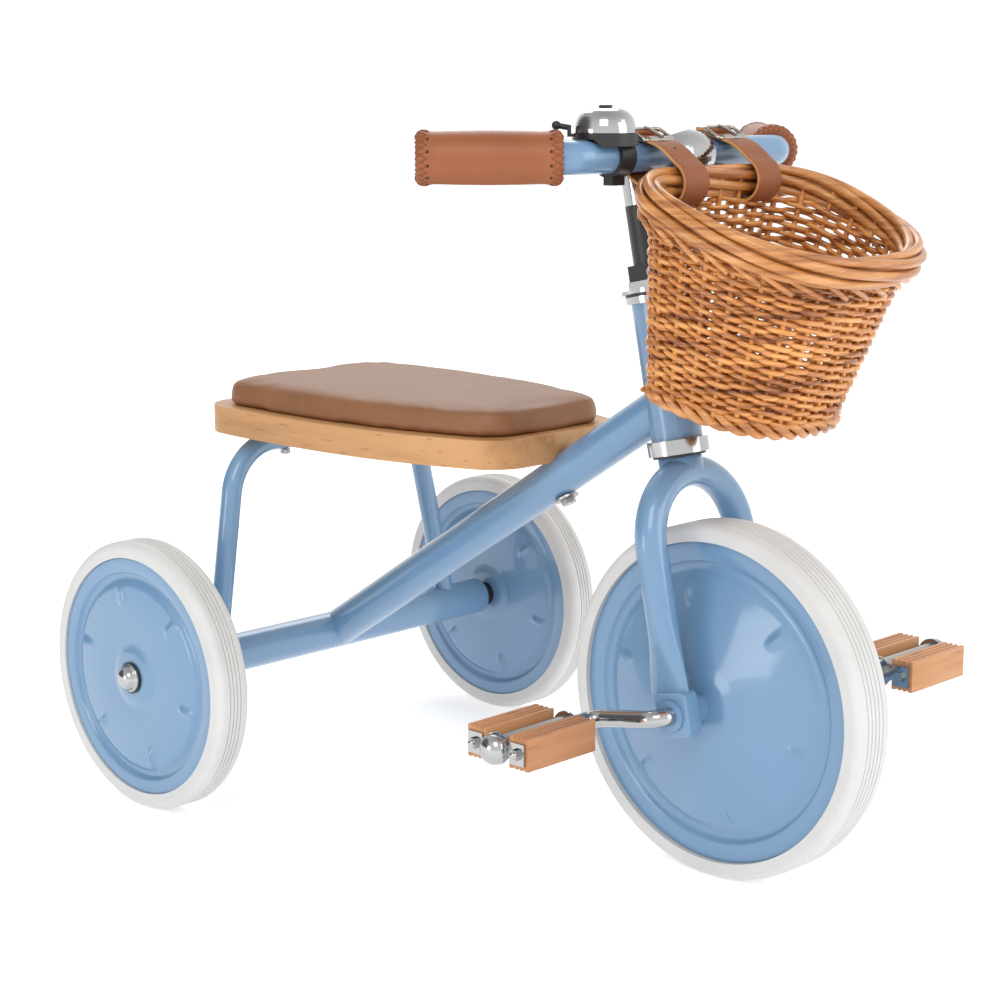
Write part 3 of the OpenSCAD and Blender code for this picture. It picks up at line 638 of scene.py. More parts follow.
@dataclass
class Steering:
    """Where the steering axis runs."""

    origin: Vector
    up: Vector
    ahead: Vector

    @classmethod
    def from_joint(cls) -> "Steering":
        """Reads the axis from the frame's steering joint."""
        joint = next(j for j in frame["joints"] if j["name"] == "steer")
        up = Vector(joint["axis"]).normalized()
        ahead = Vector((0, 1, 0)).cross(up).normalized()
        return cls(Vector(joint["pos_m"]), up, ahead)

    def at(self, along: float, forward: float = 0.0, side: float = 0.0) -> Vector:
        """A point so far along the axis, forward of it and to the left of it."""
        return self.origin + self.up * along + self.ahead * forward + Vector((0, side, 0))


@dataclass
class Fork:
    """The bent fork with its flattened leg ends."""

    steering: Steering
    finishes: Finishes
    radius: float = 11 * MM
    half_width: float = 48 * MM
    forward: float = 4 * MM
    arch: float = 110 * MM
    crown: float = 169 * MM
    steerer_radius: float = 12.7 * MM
    flat_start: float = 62 * MM
    leg_end: float = 12 * MM
    flat_thickness: float = 8 * MM
    flat_width: float = 33 * MM

    def build(self) -> None:
        """Makes the fork and dresses the parts fixed to it."""
        f = self.finishes
        legs = self._tube()
        self._flatten(legs)
        crown = turned("fork_crown", [
            (self.steerer_radius, 0), (self.steerer_radius + 3.4 * MM, 0),
            (self.steerer_radius + 2.6 * MM, self.crown - self._top() - 0.6 * MM),
            (self.steerer_radius + 2 * MM, self.crown - self._top()),
            (self.steerer_radius, self.crown - self._top()), (self.steerer_radius, 0)],
            self.steering.at(self._top()), self.steering.up)
        smooth(crown, 50)
        fork = joined("fork_arch_tube", [legs, crown])
        paint_with(fork, f.paint)
        place(fork, "fork", "paint", "fork_arch")
        blocks = merged_copy("axle_blocks", "fork_end_blocks")
        apply(blocks, "BEVEL", width=2.2 * MM, segments=3, limit_method="ANGLE",
              angle_limit=math.radians(50))
        smooth(blocks)
        paint_with(blocks, f.paint)
        place(blocks, "fork", "paint", "axle_blocks")
        dress(f.paint, "axle_bushes")
        dress(f.black, "crown_race", "top_cone", "column_sleeve", "clamp_collar")
        dress(f.chrome, "lock_nut", "tab_washer")
        dress(f.zinc, "steerer_tube")

    def _top(self) -> float:
        """Where the arch tube's middle is highest, along the steering axis."""
        return self.arch + self.half_width

    def _tube(self) -> bpy.types.Object:
        """The round tube, up one leg, over the arch and down the other."""
        at = self.steering.at
        down = [at(s, self.forward, -self.half_width)
                for s in np.linspace(self.leg_end, self.arch, 26)[:-1]]
        over = [at(self.arch + self.half_width * math.sin(a), self.forward, -self.half_width * math.cos(a))
                for a in np.linspace(0, math.pi, 41)]
        up = [at(s, self.forward, self.half_width) for s in np.linspace(self.arch, self.leg_end, 26)[1:]]
        return rods("fork_tube", [np.array(down + over + up)], [self.radius], False, 32)

    def _flatten(self, legs: bpy.types.Object) -> None:
        """Presses the lower ends of the legs flat and wide.

        Args:
            legs: The round tube, which is changed.
        """
        for vertex in legs.data.vertices:
            offset = vertex.co - self.steering.origin
            along = offset.dot(self.steering.up)
            if along >= self.flat_start:
                continue
            share = (self.flat_start - along) / (self.flat_start - self.leg_end)
            share = min(1.0, share) ** 2 * (3 - 2 * min(1.0, share))
            side = math.copysign(self.half_width, vertex.co.y)
            across = vertex.co.y - side
            ahead = offset.dot(self.steering.ahead) - self.forward
            thin = 1 - share * (1 - self.flat_thickness / (2 * self.radius))
            wide = 1 + share * (self.flat_width / (2 * self.radius) - 1)
            inset = math.copysign(2.5 * MM, vertex.co.y) * share
            vertex.co.y = side + inset + across * thin
            vertex.co += self.steering.ahead * (ahead * wide - ahead)


@dataclass
class Wheel:
    """A wheel of two pressed discs with a rubber tyre."""

    finishes: Finishes
    side: str
    body: str
    tyre: str
    discs: str
    rim_y: float
    hub_y: float
    hub_radius: float = 10 * MM
    thickness: float = 1.4 * MM
    tread: float = 12.2 * MM
    marks: int = 6
    mark_place: float = 0.69
    mark_length: float = 6.5 * MM
    mark_width: float = 2.6 * MM
    mark_height: float = 2.6 * MM
    facets: int = 288

    def build(self) -> None:
        """Makes the two discs and dresses the tyre."""
        middle, reach = centre(self.tyre), half_size(self.tyre)
        radius = reach.z - self.tread
        halves = []
        for sign in (-1, 1):
            disc = turned(f"{self.side}_disc_{'left' if sign > 0 else 'right'}",
                          self._profile(radius), middle, Vector((0, sign, 0)), self.facets)
            self._emboss(disc, middle, sign, radius)
            smooth(disc, 32)
            halves.append(disc)
        discs = joined(f"{self.side}_pressed_discs", halves)
        paint_with(discs, self.finishes.paint)
        place(discs, self.body, "paint", self.discs)
        dress(self.finishes.rubber, self.tyre)

    def _profile(self, r: float) -> list:
        """Gives the disc's section.

        Args:
            r: The disc's radius.

        Returns:
            A closed outline of radius and height.
        """
        y, h, t = self.rim_y, self.hub_y, self.thickness
        face = [(r, y - 0.9 * MM), (r - 0.5 * MM, y - 0.2 * MM), (r - 1.4 * MM, y), (0.895 * r, y),
                (0.882 * r, y - 0.5 * MM), (0.868 * r, y - 2.6 * MM), (0.855 * r, y - 3.3 * MM),
                (0.825 * r, y - 3.3 * MM), (0.805 * r, y - 2.6 * MM), (0.785 * r, y - 1.1 * MM),
                (0.765 * r, y - 0.3 * MM)]
        first = (0.765 * r, y - 0.3 * MM)
        last = (0.27 * r, h - 2.2 * MM)
        for k in range(1, 24):
            u = k / 24
            bulge = 0.9 * MM * math.sin(math.pi * u)
            face.append((first[0] + (last[0] - first[0]) * u, first[1] + (last[1] - first[1]) * u + bulge))
        face += [last, (0.225 * r, h - 0.7 * MM), (0.2 * r, h), (self.hub_radius, h)]
        back = [(self.hub_radius, h - t), (0.2 * r, h - t), (0.27 * r, h - 2.2 * MM - t),
                (0.765 * r, y - 0.3 * MM - t), (0.805 * r, y - 2.6 * MM - t), (0.855 * r, y - 3.3 * MM - t),
                (0.895 * r, y - t), (r, y - t), (r, y - 0.9 * MM)]
        return face + back

    def _emboss(self, disc: bpy.types.Object, middle: Vector, sign: int, radius: float) -> None:
        """Raises short radial marks from the disc's outer face.

        Args:
            disc: The disc, which is changed.
            middle: The wheel's middle.
            sign: 1 for the left disc and -1 for the right one.
            radius: The disc's radius.
        """
        for vertex in disc.data.vertices:
            across = vertex.co - middle
            if across.y * sign < self.rim_y - 0.6 * MM:
                continue
            reach = math.hypot(across.x, across.z)
            turn = math.atan2(across.z, across.x) * self.marks / (2 * math.pi) + 0.25
            off = (turn - round(turn)) * 2 * math.pi / self.marks * reach
            along = (reach - self.mark_place * radius) / self.mark_length
            lift = math.exp(-(off / self.mark_width) ** 2 - along ** 4)
            vertex.co.y += sign * self.mark_height * lift


@dataclass
class Seat:
    """The beech board, its cushion and the hoop below."""

    finishes: Finishes
    cap_height: float = 8.8 * MM
    edge: float = 3 * MM
    shrink: float = 1.6 * MM
    swell: float = 2.4 * MM
    voxel: float = 4.5 * MM
    pressure: float = 4.0
    steps: int = 20

    def build(self) -> None:
        """Makes the board and the cushion and dresses the frame's tubes."""
        f = self.finishes
        board = merged_copy("seat_board", "beech_seat_board")
        apply(board, "BEVEL", width=self.edge, segments=4, limit_method="ANGLE",
              angle_limit=math.radians(55))
        smooth(board, 35)
        paint_with(board, f.board)
        place(board, "frame", "timber", "seat_board")
        cushion = self._cushion()
        paint_with(cushion, f.cushion)
        place(cushion, "frame", "cushion", "seat_cushion")
        dress(f.paint, "head_tube", "down_tube", "rear_axle_tube", "seat_hoop")
        dress(f.zinc, "seat_bolts", "rear_axle_rod")
        dress(f.chrome, "upper_head_cup", "lower_head_cup", "lower_bearing", "upper_bearing")
        caps = []
        for sign in (-1, 1):
            out = half_size("axle_caps").y - self.cap_height
            end = centre("rear_axle_rod") + Vector((0, sign * out, 0))
            caps.append(turned(f"axle_cap_{sign}", CAP_PROFILE, end, Vector((0, sign, 0)), 48))
            smooth(caps[-1], 50)
        cap = joined("domed_axle_caps", caps)
        paint_with(cap, f.chrome)
        place(cap, "frame", "chrome", "axle_caps")
        dress(f.black, "axle_spacers", "axle_washers")

    def _cushion(self) -> bpy.types.Object:
        """A pad blown up from a slightly smaller form, flat where it lies on the board."""
        pad = merged_copy("seat_cushion", "leather_seat_cushion")
        low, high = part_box("seat_cushion")
        apply(pad, "REMESH", mode="VOXEL", voxel_size=self.voxel, use_smooth_shade=True)
        middle = (low + high) / 2
        for vertex in pad.data.vertices:
            for axis in (0, 1):
                reach = (high - low)[axis] / 2
                offset = vertex.co[axis] - middle[axis]
                vertex.co[axis] = middle[axis] + offset * (reach - self.shrink) / reach
            vertex.co.z = low.z + (vertex.co.z - low.z) * 0.93
        self._inflate(pad, low.z)
        apply(pad, "SMOOTH", factor=0.5, iterations=6)
        for vertex in pad.data.vertices:
            if vertex.co.z < low.z + 1.2 * MM:
                vertex.co.z = low.z
        apply(pad, "SUBSURF", levels=1, render_levels=1)
        smooth(pad, 60)
        return pad

    def _inflate(self, pad: bpy.types.Object, floor: float) -> None:
        """Runs the cloth under pressure and keeps each point's move within the cap.

        Args:
            pad: The pad, which is changed.
            floor: The height at which it rests.
        """
        start = np.array([v.co for v in pad.data.vertices])
        pins = pad.vertex_groups.new(name="rests")
        pins.add([v.index for v in pad.data.vertices if v.co.z < floor + 2 * MM], 1.0, "REPLACE")
        cloth = pad.modifiers.new("Cloth", "CLOTH")
        cloth.settings.vertex_group_mass = pins.name
        cloth.settings.use_pressure = True
        cloth.settings.uniform_pressure_force = self.pressure
        cloth.settings.effector_weights.gravity = 0
        scene = bpy.context.scene
        for step in range(1, self.steps + 1):
            scene.frame_set(step)
        take(pad)
        bpy.ops.object.modifier_apply(modifier=cloth.name)
        scene.frame_set(1)
        moved = np.array([v.co for v in pad.data.vertices]) - start
        length = np.linalg.norm(moved, axis=1)
        share = np.minimum(1.0, self.swell / np.maximum(length, 1e-9))
        final = start + moved * share[:, None]
        pad.data.vertices.foreach_set("co", final.astype(np.float32).ravel())
        pad.vertex_groups.clear()


@dataclass
class Handlebar:
    """The bar with its clamp, laced leather grips and bell."""

    finishes: Finishes
    radius: float = 11.1 * MM
    corner: float = 105 * MM
    sweep: float = math.radians(45)
    bend: float = 20 * MM
    grip_length: float = 94 * MM
    grip_radius: float = 17.5 * MM
    holes: int = 12
    lace: float = 0.5 * MM
    lace_reach: float = 7.5 * MM
    hole_radius: float = 1.1 * MM

    def build(self) -> None:
        """Makes the grips and dresses the bar, the stem and the bell."""
        f = self.finishes
        middle = centre("stem_barrel")
        for sign, name in ((1, "left"), (-1, "right")):
            along = Vector((-math.sin(self.sweep), sign * math.cos(self.sweep), 0))
            start = Vector((middle.x, sign * self.corner, middle.z)) \
                + along * (self.bend * math.tan(self.sweep / 2) + 1 * MM)
            grip = turned(f"{name}_leather_grip", self._grip_profile(), start, along, 96)
            smooth(grip, 60)
            paint_with(grip, f.grip)
            place(grip, "stem", "leather", f"{name}_grip")
            lacing = self._lacing(name, start, along)
            paint_with(lacing, f.lace)
            place(lacing, "stem", "leather")
            # painted shade: dark dots where the grip's lace holes are
            holes = self._hole_shade_plugs(name, start, along)
            paint_with(holes, f.painted_hole_shade)
            place(holes, "stem", "leather")
        dress(f.paint, "handlebar_tube")
        dress(f.chrome, "quill_stem", "stem_barrel", "bell_dome")
        dress(f.zinc, "stem_wedge", "wedge_bolt")
        dress(f.black, "bell_clamp", "bell_base", "bell_screw", "bell_lever")

    def _grip_profile(self) -> list:
        """The grip's section, with a rolled edge at each end and a closed outer end."""
        r, n = self.grip_radius, self.grip_length
        bore = self.radius + 0.25 * MM
        half = [(r - 2.4 * MM, 0.2 * MM), (r - 1.0 * MM, 1.2 * MM), (r - 0.2 * MM, 3.2 * MM), (r, 5.5 * MM),
                (r - 0.15 * MM, 8.0 * MM), (r - 0.65 * MM, 10.5 * MM), (r - 0.7 * MM, 14 * MM),
                (r - 0.35 * MM, 28 * MM)]
        far = [(radius, n - height) for radius, height in reversed(half)]
        mouth = [(bore, 3 * MM), (bore, 0.6 * MM), (bore + 2 * MM, 0.0)]
        end = [(r - 6 * MM, n), (r - 9 * MM, n + 0.4 * MM), (0.0, n + 0.5 * MM)]
        return mouth + half + [(r - 0.1 * MM, n / 2)] + far + end

    def _hole_shade_plugs(self, name: str, start: Vector, along: Vector) -> bpy.types.Object:
        """Makes painted shade for the punched holes that the lacing goes through: dark rods sunk in the
        grip, whose outer ends show as dark dots.

        Args:
            name: The side's name.
            start: Where the grip starts.
            along: The grip's direction.

        Returns:
            The painted hole shade as one mesh.
        """
        up = Vector((0, 0, 1))
        out = along.cross(up).normalized()
        paths = []
        for height in (self.lace_reach, self.grip_length - self.lace_reach):
            for k in range(self.holes):
                angle = 2 * math.pi * (k + 0.5) / self.holes
                away = up * math.sin(angle) + out * math.cos(angle)
                foot = start + along * height
                paths.append(np.array([foot + away * (self.grip_radius - 2 * MM),
                                       foot + away * (self.grip_radius + 0.02 * MM)]))
        return rods(f"{name}_grip_holes", paths, [self.hole_radius] * len(paths), False, 12)

    def _lacing(self, name: str, start: Vector, along: Vector) -> bpy.types.Object:
        """Makes the crossed thongs round both ends of a grip.

        Args:
            name: The side's name.
            start: Where the grip starts.
            along: The grip's direction.

        Returns:
            The lacing as one mesh.
        """
        up = Vector((0, 0, 1))
        out = along.cross(up).normalized()
        paths = []
        for end in (0, 1):
            for phase in (0, 1):
                points = []
                for k in range(2 * self.holes * 4):
                    share = k / 4
                    u = abs(((share + phase) % 2) - 1)
                    angle = math.pi * share / self.holes
                    lift = 0.22 * MM + (0.2 * MM if (k % 8) in (1, 2, 3) else 0.0) * (1 - 2 * phase)
                    height = u * self.lace_reach - 0.4 * MM
                    radius = self.grip_radius + lift - 0.3 * MM
                    if height < 3.4 * MM:
                        drop = (3.4 * MM - height) / (3.8 * MM)
                        radius -= 3.6 * MM * drop ** 2
                    place_on_axis = height if end == 0 else self.grip_length - height
                    points.append(start + along * place_on_axis
                                  + (up * math.sin(angle) + out * math.cos(angle)) * radius)
                paths.append(np.array(points))
        return rods(f"{name}_grip_lacing", paths, [self.lace] * 4, True, 6)


@dataclass
class Straps:
    """Two leather straps with roller buckles that hold the basket on the bar."""

    finishes: Finishes
    width: float = 25 * MM
    thickness: float = 2.2 * MM
    offset: float = 39 * MM
    bar_radius: float = 11.6 * MM
    rim_radius: float = 13.4 * MM
    ahead: float = HANG_AHEAD
    drop: float = HANG_DROP
    bulge: float = 3 * MM
    hole_radius: float = 1.3 * MM

    def build(self) -> None:
        """Makes both straps with their buckles."""
        f = self.finishes
        for sign, name in ((1, "left"), (-1, "right")):
            path = self._path()
            strap = self._ribbon(f"{name}_basket_strap", path, sign * self.offset, self.width, True)
            tail = self._ribbon(f"{name}_strap_tail", self._tail_path(), sign * self.offset,
                                self.width - 2 * MM, False)
            paint_with(strap, f.strap, f.cut_edge)
            paint_with(tail, f.strap, f.cut_edge)
            for piece in (strap, tail):
                for polygon in piece.data.polygons:
                    polygon.material_index = 1 if abs(polygon.normal.y) > 0.6 else 0
            place(strap, "basket", "leather", "basket_straps")
            place(tail, "basket", "leather")
            # painted shade: dark plugs where the strap's punched holes are
            holes = self._hole_shade_plugs(f"{name}_strap_holes", path, sign * self.offset, 2 if sign < 0 else 1)
            paint_with(holes, f.painted_hole_shade)
            place(holes, "basket", "leather")
            buckle = self._buckle(f"{name}_roller_buckle", sign * self.offset)
            place(buckle, "basket", "chrome", "strap_buckles")
            steps = np.diff(self._tail_path(), axis=0)

    def _centres(self) -> tuple:
        """The middles of the bar and of the basket's rim, in the strap's plane."""
        bar = centre("stem_barrel")
        return np.array([bar.x, bar.z]), np.array([bar.x + self.ahead, bar.z - self.drop])

    def _path(self) -> np.ndarray:
        """The closed middle line of a strap, round the bar and the rim."""
        bar, rim = self._centres()
        long = math.hypot(self.ahead, self.drop)
        turn = -math.atan2(self.drop, self.ahead)
        r1 = self.bar_radius + self.thickness / 2
        r2 = self.rim_radius + self.thickness / 2
        lean = math.acos((r1 - r2) / long)
        back = [bar + r1 * np.array([math.cos(a), math.sin(a)])
                for a in np.linspace(turn + lean, turn - lean + 2 * math.pi, 28)]
        front = [rim + r2 * np.array([math.cos(a), math.sin(a)])
                 for a in np.linspace(turn - lean, turn + lean, 22)]
        lower = [back[-1] + (front[0] - back[-1]) * u for u in np.linspace(0, 1, 8)[1:-1]]
        normal = np.array([math.cos(turn + lean), math.sin(turn + lean)])
        upper = [front[-1] + (back[0] - front[-1]) * u + normal * self.bulge * math.sin(math.pi * u) ** 1.2
                 for u in np.linspace(0, 1, 14)[1:-1]]
        return np.array(back + lower + front + upper)

    def _tail_path(self) -> np.ndarray:
        """The loose end, from under the buckle back over the bar."""
        bar, _ = self._centres()
        r = self.bar_radius + 1.6 * self.thickness
        points = []
        for u in np.linspace(0, 1, 12):
            angle = math.radians(78 + 62 * u)
            lift = r + 3.0 * MM * u + 1.5 * MM * u ** 2
            points.append(bar + lift * np.array([math.cos(angle), math.sin(angle)]))
        return np.array(points)

    def _ribbon(self, name: str, path: np.ndarray, y: float, width: float,
                closed: bool) -> bpy.types.Object:
        """Makes a flat band along a path in the XZ plane.

        Args:
            name: The band's name.
            path: Its middle line, as rows of x and z.
            y: Where its middle lies across the tricycle.
            width: Its width.
            closed: True for a loop, False for a strip with one rounded end.

        Returns:
            The band as a mesh object.
        """
        count = len(path)
        points = np.c_[path[:, 0], np.full(count, y - width / 2), path[:, 1]]
        edges = [(k, k + 1) for k in range(count - 1)] + ([(count - 1, 0)] if closed else [])
        band = from_points(name, points, edges)
        parts = 6
        with editing(band):
            bpy.ops.mesh.select_mode(type="EDGE")
            bpy.ops.mesh.select_all(action="SELECT")
            for _ in range(parts):
                bpy.ops.mesh.extrude_region_move(TRANSFORM_OT_translate={"value": (0, width / parts, 0)})
        if not closed:
            last = Vector((path[-1][0], y, path[-1][1]))
            ahead = Vector((path[-1][0] - path[-2][0], 0, path[-1][1] - path[-2][1])).normalized()
            for vertex in band.data.vertices:
                side = abs(vertex.co.y - y) / (width / 2)
                past = (vertex.co - last).dot(ahead)
                near = max(0.0, 1 - past / (-9 * MM)) if past < 0 else 1.0
                vertex.co -= ahead * (7 * MM * side ** 2.4 * near)
        tidy_mesh(band)
        apply(band, "SOLIDIFY", thickness=self.thickness, offset=0)
        apply(band, "BEVEL", width=0.5 * MM, segments=2, limit_method="ANGLE",
              angle_limit=math.radians(60))
        smooth(band, 45)
        return band

    def _hole_shade_plugs(self, name: str, path: np.ndarray, y: float, count: int) -> bpy.types.Object:
        """Makes painted shade for the punched holes below the buckle, as dark plugs level with the strap's
        face.

        Args:
            name: The new piece's name.
            path: The strap's middle line.
            y: Where its middle lies across the tricycle.
            count: How many holes show.

        Returns:
            The painted hole shade as one mesh.
        """
        upper = path[-13:]
        paths = []
        for k in range(count):
            here, ahead = upper[-4 - 4 * k], upper[-5 - 4 * k]
            along = (ahead - here) / np.linalg.norm(ahead - here)
            out = np.array([-along[1], along[0]])
            out *= 1 if out[1] > 0 else -1
            face = here + out * (self.thickness / 2 + 0.03 * MM)
            paths.append(np.array([[face[0] - out[0] * MM, y, face[1] - out[1] * MM],
                                   [face[0], y, face[1]]]))
        return rods(name, paths, [self.hole_radius] * count, False, 14)

    def _buckle(self, name: str, y: float) -> bpy.types.Object:
        """Makes a wire frame with a roller in front and a tongue across it.

        Args:
            name: The buckle's name.
            y: Where its middle lies across the tricycle.

        Returns:
            The buckle as one mesh.
        """
        bar, _ = self._centres()
        reach = self.bar_radius + self.thickness + 1.6 * MM
        half = self.width / 2 + 2.4 * MM
        out = np.array([math.cos(math.radians(62)), math.sin(math.radians(62))])
        along = np.array([-out[1], out[0]])

        def spot(u: float, v: float, lift: float = 0.0) -> tuple:
            """A point on the buckle's plane: u rearward along the strap, v across it."""
            p = bar + out * (reach + lift) + along * u
            return (p[0], y + v, p[1])

        corner = 2.5 * MM
        back = 8 * MM
        front = -7 * MM
        loop = []
        for cu, cv, a0 in ((back - corner, half - corner, 0), (back - corner, -half + corner, -90),
                           (front + corner, -half + corner, 180), (front + corner, half - corner, 90)):
            for a in np.linspace(a0 + 90, a0, 5):
                loop.append(spot(cu + corner * math.cos(math.radians(a)),
                                 cv + corner * math.sin(math.radians(a))))
        frame_wire = rods(name + "_wire", [np.array(loop)], [1.25 * MM], True, 12)
        axle = [spot(front, v) for v in np.linspace(-half + 3.4 * MM, half - 3.4 * MM, 5)]
        roller = rods(name + "_roller", [np.array(axle)], [2.5 * MM], False, 20)
        bent = [spot(u, 0, lift) for u, lift in (
            (back, 1.2 * MM), (back * 0.5, 2.2 * MM), (0, 2.5 * MM), (front * 0.6, 2.8 * MM),
            (front - 1.5 * MM, 3.3 * MM))]
        tongue = rods(name + "_tongue", [np.array(bent)], [1.15 * MM], False, 10)
        buckle = joined(name, [frame_wire, roller, tongue])
        paint_with(buckle, self.finishes.nickel)
        return buckle


@dataclass
class Basket:
    """A woven willow basket with a wrapped rim and a plaited foot."""

    finishes: Finishes
    rim_half: float = 96 * MM
    rim_depth: float = 139 * MM
    base_half: float = 66 * MM
    base_back: float = 32.5 * MM
    base_front: float = 133 * MM
    height: float = 136 * MM
    corner: float = 42 * MM
    base_corner: float = 24 * MM
    tilt: float = math.radians(20)
    rim_slope: float = math.tan(math.radians(2.5))
    base_slope: float = math.tan(math.radians(5))
    ahead: float = HANG_AHEAD
    drop: float = HANG_DROP
    stakes: int = 26
    per_stake: int = 8
    rows: int = 36
    stake_radius: float = 2.1 * MM
    weaver_radius: float = 1.9 * MM
    weave_depth: float = 2.4 * MM
    float_ease: float = 0.12
    rise: float = 0.5 * MM
    wall_inset: float = 3.6 * MM
    foot_turns: int = 10
    rim_rods: int = 6
    rim_rod: float = 3.3 * MM

    def __post_init__(self) -> None:
        """Finds the basket's own frame and its random source."""
        bar = centre("stem_barrel")
        self.origin = np.array([bar.x + self.ahead, 0.0, bar.z - self.drop])
        self.random = np.random.default_rng(SEED)
        self.table = self._table()

    def _half(self, half: float, depth: float, corner: float) -> np.ndarray:
        """Draws half of a D outline.

        Args:
            half: Half its width.
            depth: Its depth from back to front.
            corner: The radius of its back corners.

        Returns:
            Points from the middle of its flat back to the middle of its front.
        """
        back = [(0.0, (half - corner) * u) for u in np.linspace(0, 1, 11)]
        turn = [(corner * (1 - math.cos(a)), half - corner * (1 - math.sin(a)))
                for a in np.linspace(0, math.pi / 2, 12)[1:]]
        nose = [(corner + (depth - corner) * math.sin(t) ** 0.8, half * max(0.0, math.cos(t)) ** 0.8)
                for t in np.linspace(0, math.pi / 2, 60)[1:]]
        return np.array(back + turn + nose)

    def _table(self) -> tuple:
        """The rim's and the base's whole outlines, point for point, with their share of the way round."""
        rim = self._half(self.rim_half, self.rim_depth, self.corner)
        base = self._half(self.base_half, self.base_front - self.base_back, self.base_corner)
        base[:, 0] += self.base_back
        whole = [np.vstack([p, (p[::-1] * [1, -1])[1:-1]]) for p in (rim, base)]
        mean = (whole[0] + whole[1]) / 2
        steps = np.linalg.norm(np.diff(mean, axis=0, append=mean[:1]), axis=1)
        share = np.concatenate([[0], np.cumsum(steps)]) / steps.sum()
        return whole[0], whole[1], share

    def wall(self, around: np.ndarray, down: Union[float, np.ndarray], out: Union[float, np.ndarray] = 0.0,
             up: Union[float, np.ndarray] = 0.0) -> np.ndarray:
        """Points on the basket's wall in the row frame.

        Args:
            around: Shares of the way round, from the middle of the back.
            down: 0 at the rim's middle line and 1 at the base.
            out: Distance outwards from the wall.
            up: Distance upwards.

        Returns:
            One row of x, y and z for each share.
        """
        rim, base, share = self.table
        around = np.asarray(around, float) % 1.0

        def sample(t: np.ndarray) -> np.ndarray:
            """The outline at these shares and this depth."""
            flat = np.empty((len(t), 2))
            for axis in (0, 1):
                a = np.interp(t, share, np.append(rim[:, axis], rim[0, axis]))
                b = np.interp(t, share, np.append(base[:, axis], base[0, axis]))
                flat[:, axis] = a + (b - a) * down
            return flat

        at = sample(around)
        tangent = sample((around + 0.004) % 1.0) - sample((around - 0.004) % 1.0)
        tangent /= np.linalg.norm(tangent, axis=1)[:, None]
        normal = np.c_[-tangent[:, 1], tangent[:, 0]]
        flat = at + normal * np.reshape(out, (-1, 1))
        share_down = np.asarray(down, float)
        height = -self.height * share_down + up - (1 - share_down) * flat[:, 0] * self.rim_slope \
            + share_down * (flat[:, 0] - self.base_back) * self.base_slope
        return self.to_row(np.c_[flat, np.broadcast_to(height, (len(flat),))])

    def to_row(self, local: np.ndarray) -> np.ndarray:
        """Turns the basket's own x, y and z into the row frame."""
        c, s = math.cos(self.tilt), math.sin(self.tilt)
        x, y, z = local[:, 0], local[:, 1], local[:, 2]
        return np.c_[c * x + s * z, y, -s * x + c * z] + self.origin

    def build(self) -> None:
        """Weaves the basket."""
        f = self.finishes
        weave = self._weave()
        paint_with(weave, f.willow)
        place(weave, "basket", "wicker", "basket")
        for piece, material in ((self._stakes(), f.willow), (self._floor(), f.willow),
                                (self._rim(), f.willow_rim), (self._foot(), f.willow_rim),
                                (self._tips(), f.willow_rim)):
            paint_with(piece, material)
            place(piece, "basket", "wicker")

    def _weave(self) -> bpy.types.Object:
        """Rows of rods that pass before one stake and behind the next."""
        count = self.stakes * self.per_stake
        around = np.arange(count) / count
        top, bottom = 11 * MM / self.height, 1 - 12 * MM / self.height
        paths, radii = [], []
        for row, down in enumerate(np.linspace(top, bottom, self.rows)):
            wave = np.cos(np.pi * (around * self.stakes + row % 2))
            flat = wave / np.sqrt(wave ** 2 + self.float_ease)
            out = -self.wall_inset - 0.2 * MM + self.weave_depth * flat + self._wander(around, 0.25 * MM)
            up = self._wander(around, 0.7 * MM) \
                + self.rise * np.sin(np.pi * (around * self.stakes + row % 2))
            paths.append(self.wall(around, down, out, up))
            radii.append(self.weaver_radius * self.random.uniform(0.84, 1.12))
        return rods("willow_weave_rows", paths, radii, True, 6)

    def _wander(self, around: np.ndarray, amount: float) -> np.ndarray:
        """Makes a slow seeded wobble along a rod.

        Args:
            around: Shares of the way round.
            amount: How far it strays, in metres.

        Returns:
            One offset for each share.
        """
        wave = sum(math.cos(self.random.uniform(0, 6.28))
                   * np.sin(2 * np.pi * around * k + self.random.uniform(0, 6.28))
                   for k in (3, 5, 8, 13))
        return amount * wave / 2

    def _stakes(self) -> bpy.types.Object:
        """Upright stakes that the rows are woven round."""
        paths = []
        for k in range(self.stakes):
            down = np.linspace(-0.02, 0.97, 9)
            line = [self.wall(np.array([k / self.stakes]), d, -self.wall_inset)[0] for d in down]
            paths.append(np.array(line))
        return rods("willow_stakes", paths, [self.stake_radius] * self.stakes, False, 8)

    def _rim(self) -> bpy.types.Object:
        """Long rods wound round the rim, over a core."""
        count = 144
        around = np.arange(count) / count
        paths, radii = [], []
        turns = 1
        for rod in range(self.rim_rods):
            angle = 2 * np.pi * (turns * around + rod / self.rim_rods)
            wobble = self._wander(around, 0.6 * MM)
            paths.append(self.wall(around, 0.0, (6.0 * MM + wobble) * np.cos(angle),
                                   7.9 * MM * np.sin(angle)))
            radii.append(self.rim_rod * self.random.uniform(0.9, 1.08))
        paths.append(self.wall(around, 0.0, 0.0, 2.4 * MM))
        paths.append(self.wall(around, 0.0, 0.0, -2.4 * MM))
        radii += [3.4 * MM, 3.4 * MM]
        return rods("willow_wrapped_rim", paths, radii, True, 10)

    def _foot(self) -> bpy.types.Object:
        """Three thick strands plaited round the foot."""
        count = 216
        around = np.arange(count) / count
        paths, radii = [], []
        for strand in range(3):
            angle = 2 * np.pi * (self.foot_turns * around + strand / 3)
            out = -2.8 * MM + 3.2 * MM * np.cos(angle)
            up = 6.4 * MM + 3.9 * MM * np.sin(angle)
            paths.append(self.wall(around, 1.0, out, up))
            radii.append(2.9 * MM)
        return rods("willow_plaited_foot", paths, radii, True, 8)

